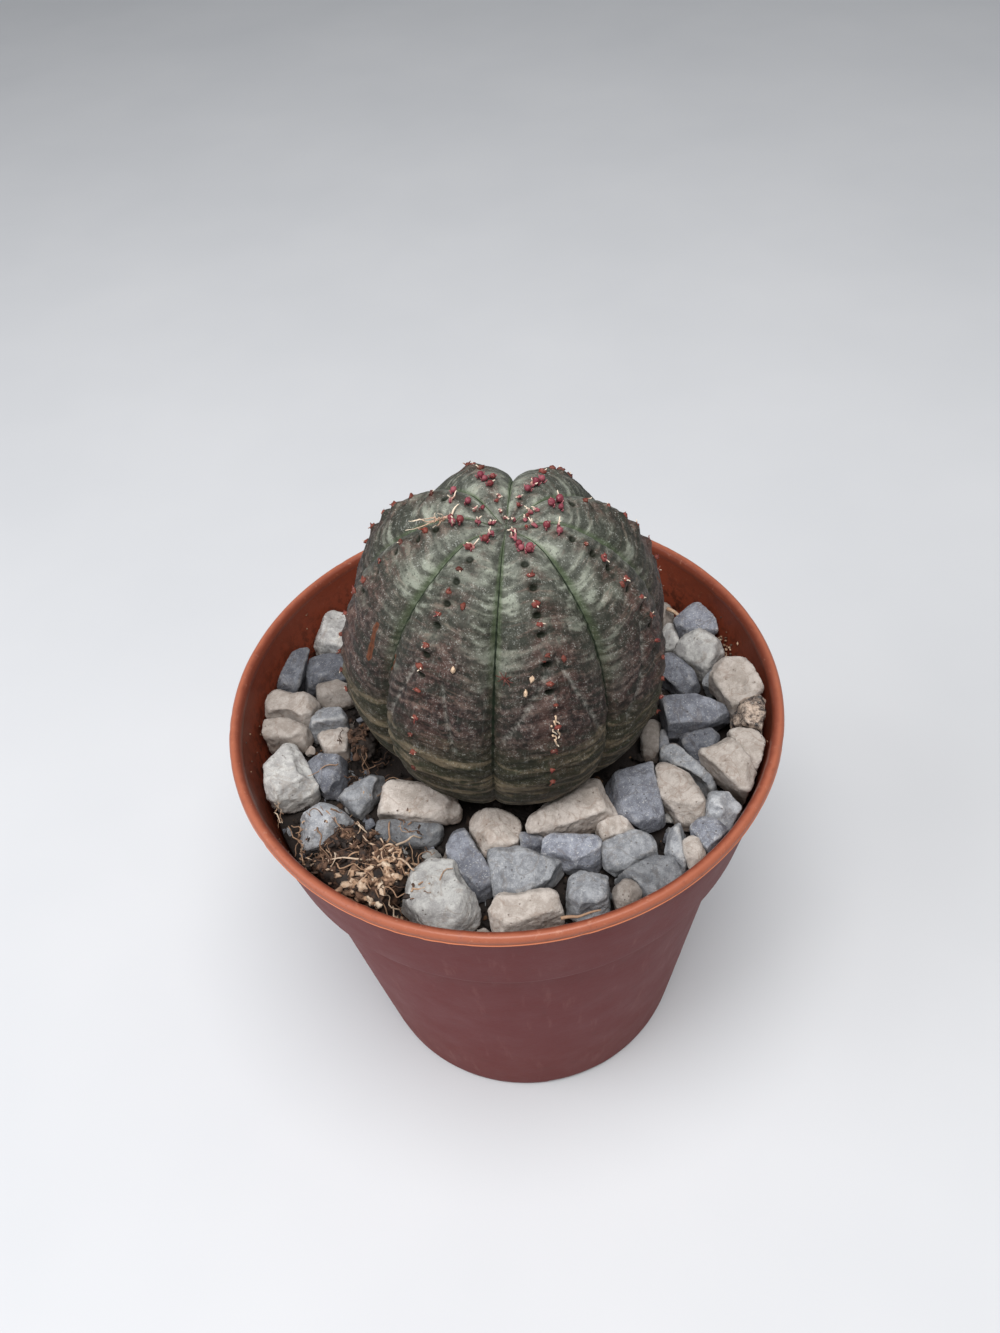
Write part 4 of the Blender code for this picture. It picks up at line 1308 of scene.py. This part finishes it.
def make_fibres(bed):
    """The coir and peat clumps, their loose bits, the root tuft and stray strands."""
    rng = np.random.default_rng(31)
    fibre = dry_fibre()
    rough_clump("coir_clump", "coir_mat", 0.3, 0.55, fibre)
    rough_clump("peat_clump", "peat_mat", 0.28, 0.6, mix_soil_and_shade("peat", 24))

    low, high = (np.array(corner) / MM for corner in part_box("coir_clump"))
    coir = (low + high) / 2
    peat = sum(np.array(corner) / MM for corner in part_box("peat_clump")) / 2
    hub = np.array((coir[0] + 0.25 * (high[0] - low[0]), coir[1], LEVEL - 1.6))

    bits = Bundle()
    for _ in range(620):
        x, y = rng.uniform(low[:2] - 0.6, high[:2] + 0.6)
        height, node = bed.under(x, y)
        if node not in ("coir_clump", "potting_mix") and rng.uniform() > 0.12:
            continue
        if noise.noise(Vector((x * 0.55, y * 0.55, 3.0))) < -0.16 or height > RIM - 0.8:
            continue
        pale = y < coir[1] - 1.2 and rng.uniform() < 0.7
        size = rng.uniform(0.4, 1.3) if pale else rng.uniform(0.3, 1.1)
        shape_low = (0.8, 0.6, 0.5) if pale else (0.8, 0.3, 0.2)
        sizes = size * rng.uniform(shape_low, (1.4, 0.9, 0.7))
        axes = frame_towards(rng.normal(size=3) + (0, 0, 0.8), rng)
        tint = 0.7 if pale else 0.26
        bits.add(lump(rng, (x, y, height + 0.2), sizes, axes, 0.8), tint + rng.uniform(-0.35, 0.22))
    for _ in range(110):
        x, y = peat[:2] + rng.normal(size=2) * (1.6, 2.3)
        height, node = bed.under(x, y)
        if node in ("peat_clump", "potting_mix"):
            size = rng.uniform(0.4, 1.2)
            sizes = size * rng.uniform((0.8, 0.4, 0.3), (1.4, 0.8, 0.6))
            axes = frame_towards(rng.normal(size=3), rng)
            bits.add(lump(rng, (x, y, height + 0.2), sizes, axes, 0.6), rng.uniform(0.08, 0.36))
    bits.make("coir_bits", fibre, "coir")

    loose = Bundle()

    def lay(start, end, thickness, wander, tint, steps=12):
        """One strand between two places in the pot."""
        shape, _ = strand(curl(rng, start, end, wander, steps), thickness, 0.45)
        loose.add(shape, tint)

    def far_from(x, y, shortest, longest):
        """Another place at a random distance and heading."""
        turn, reach = rng.uniform(0, math.tau), rng.uniform(shortest, longest)
        return x + reach * math.cos(turn), y + reach * math.sin(turn)

    def clear(*places):
        """True if every place lies well inside the wall."""
        return max(math.hypot(*place) for place in places) < LIP - 2.6

    for turn in np.linspace(0, math.tau, 8, endpoint=False):
        reach = rng.uniform(3.0, 6.5)
        x, y = hub[0] + reach * math.cos(turn), hub[1] + reach * math.sin(turn)
        end = np.array((x, y, bed.drop(x, y) + 0.5))
        lay(hub + rng.normal(size=3) * 0.3, end, 0.34, 1.0, rng.uniform(0.62, 0.9))
    for turn in np.linspace(0, math.tau, 11, endpoint=False):
        first = hub + (1.6 * math.cos(turn), 1.1 * math.sin(turn), 0.35)
        last = hub + (1.5 * math.cos(turn + 1.3), 1.2 * math.sin(turn + 1.3), 0.1)
        lay(first, last, 0.3, 0.8, rng.uniform(0.45, 0.85), 8)
    for _ in range(120):
        x, y = rng.uniform(low[:2] - 0.5, high[:2] + 0.5)
        far = far_from(x, y, 1.2, 4.2)
        heights = bed.drop(x, y), bed.drop(*far)
        if clear((x, y), far) and max(heights) < LEVEL - 0.4:
            ends = (x, y, heights[0] + 0.35), (*far, heights[1] + 0.5)
            lay(*ends, rng.uniform(0.1, 0.24), 1.4, rng.uniform(0.2, 0.9))
    for degrees in np.linspace(*DIRT_SPREAD, 6):
        for _ in range(9):
            x, y = in_mouth(degrees, 2.8, 0)[:2] + rng.normal(size=2) * 1.1
            far = far_from(x, y, 0.8, 2.6)
            if clear((x, y), far):
                first, last = LEVEL - 3.0 + rng.uniform(-0.8, 0.8), LEVEL - 2.2 + rng.uniform(-1.0, 1.0)
                lay((x, y, first), (*far, last), rng.uniform(0.12, 0.26), 0.9, rng.uniform(0.3, 0.95), 8)
    for _ in range(46):
        x, y = peat[:2] + rng.normal(size=2) * (1.5, 2.2)
        far = far_from(x, y, 0.8, 2.4)
        heights = bed.drop(x, y), bed.drop(*far)
        if max(heights) < LEVEL - 0.4:
            ends = (x, y, heights[0] + 0.2), (*far, heights[1] + 0.7)
            lay(*ends, rng.uniform(0.1, 0.2), 0.9, rng.uniform(0.1, 0.5), 8)
    for _ in range(6):
        x, y = peat[:2] + (coir - peat)[:2] * rng.uniform(0.1, 0.8) + rng.normal(size=2) * 2.5
        far = far_from(x, y, 3.0, 5.5)
        if clear((x, y), far):
            ends = (x, y, bed.drop(x, y) + 0.3), (*far, bed.drop(*far) + 0.3)
            lay(*ends, 0.16, 1.2, rng.uniform(0.5, 0.8))
    lay(in_mouth(-83, 3.0, LEVEL + 0.3), in_mouth(-75, 2.6, LEVEL + 0.5), 0.42, 0.3, 0.6)
    lay(in_mouth(35, 5.2, LEVEL - 2.4), in_mouth(28, 4.4, LEVEL - 2.6), 0.6, 0.4, 0.75)
    loose.make("loose_roots", fibre, "coir")

    specks = Bundle()
    for _ in range(34):
        heading = math.radians(19) + rng.normal() * 0.06
        height = min(LEVEL - 3.6 + rng.normal() * 1.5, RIM - 1.6)
        wall = wall_inside(height) - 0.1
        spot = (wall * math.cos(heading), wall * math.sin(heading), height)
        specks.add(lump(rng, spot, rng.uniform(0.15, 0.5, 3), None, 0.4, 1), rng.uniform(0.2, 0.8))
    for _ in range(40):
        heading = rng.uniform(0, math.tau)
        height = RIM - rng.uniform(1.6, 6.0)
        wall = wall_inside(height) - 0.06
        spot = (wall * math.cos(heading), wall * math.sin(heading), height)
        specks.add(lump(rng, spot, rng.uniform(0.12, 0.3, 3), None, 0.4, 1), rng.uniform(0.1, 0.6))
    specks.make("soil_specks", fibre, "coir")


# ------------------------------------------------------------------------------- stage

def make_stage():
    """A pale floor, soft studio lights and the camera."""
    scene = bpy.context.scene
    scene.view_settings.view_transform = "Standard"

    bm = bmesh.new()
    bmesh.ops.create_grid(bm, x_segments=8, y_segments=8, size=1.5)
    mesh = bpy.data.meshes.new("floor")
    bm.to_mesh(mesh)
    bm.free()
    f = Finish("studio_floor")
    cloud = f.grain(60.0, 3.0)
    pale = f.blend(srgb(198, 200, 204), srgb(210, 211, 214), cloud)
    mesh.materials.append(f.paint(pale, 0.7 + 0.1 * cloud))
    floor = bpy.data.objects.new("floor", mesh)
    scene.collection.objects.link(floor)

    world = bpy.data.worlds.new("studio")
    world.use_nodes = True
    scene.world = world
    background = world.node_tree.nodes["Background"]
    background.inputs["Color"].default_value = (0.93, 0.96, 1.0, 1.0)
    background.inputs["Strength"].default_value = 0.3

    def area(name, place, target, size, power, colour):
        light = bpy.data.lights.new(name, "AREA")
        light.shape = "DISK"
        light.size = size
        light.energy = power
        light.color = colour
        lamp = bpy.data.objects.new(name, light)
        lamp.location = place
        lamp.rotation_euler = (Vector(target) - Vector(place)).to_track_quat("-Z", "Y").to_euler()
        scene.collection.objects.link(lamp)

    area("overhead", (0.0, -0.13, 0.52), (0, 0, 0.06), 0.34, 2.9, (1.0, 0.99, 0.97))
    area("left_fill", (-0.4, -0.12, 0.34), (0, 0, 0.05), 0.4, 1.2, (0.97, 0.98, 1.0))

    camera = bpy.data.cameras.new("camera")
    camera.sensor_width = 36.0
    camera.lens = 29.71
    camera.clip_start = 0.005
    holder = bpy.data.objects.new("camera", camera)
    holder.matrix_world = (
        Matrix.Translation((-0.00012, -0.08497, 0.15948))
        @ Matrix.Rotation(math.radians(42.2), 4, "X")
        @ Matrix.Rotation(math.radians(-5.46), 4, "Z")
    )
    scene.collection.objects.link(holder)
    scene.camera = holder


make_stage()
make_pot()
make_plant()
make_flower_remains()
surfaces = {kind: rock_finish(kind) for kind in ROCKS}
make_stones(surfaces)
bed = Bed()
make_grit(surfaces, bed)
make_mix(bed)
make_fibres(bed)
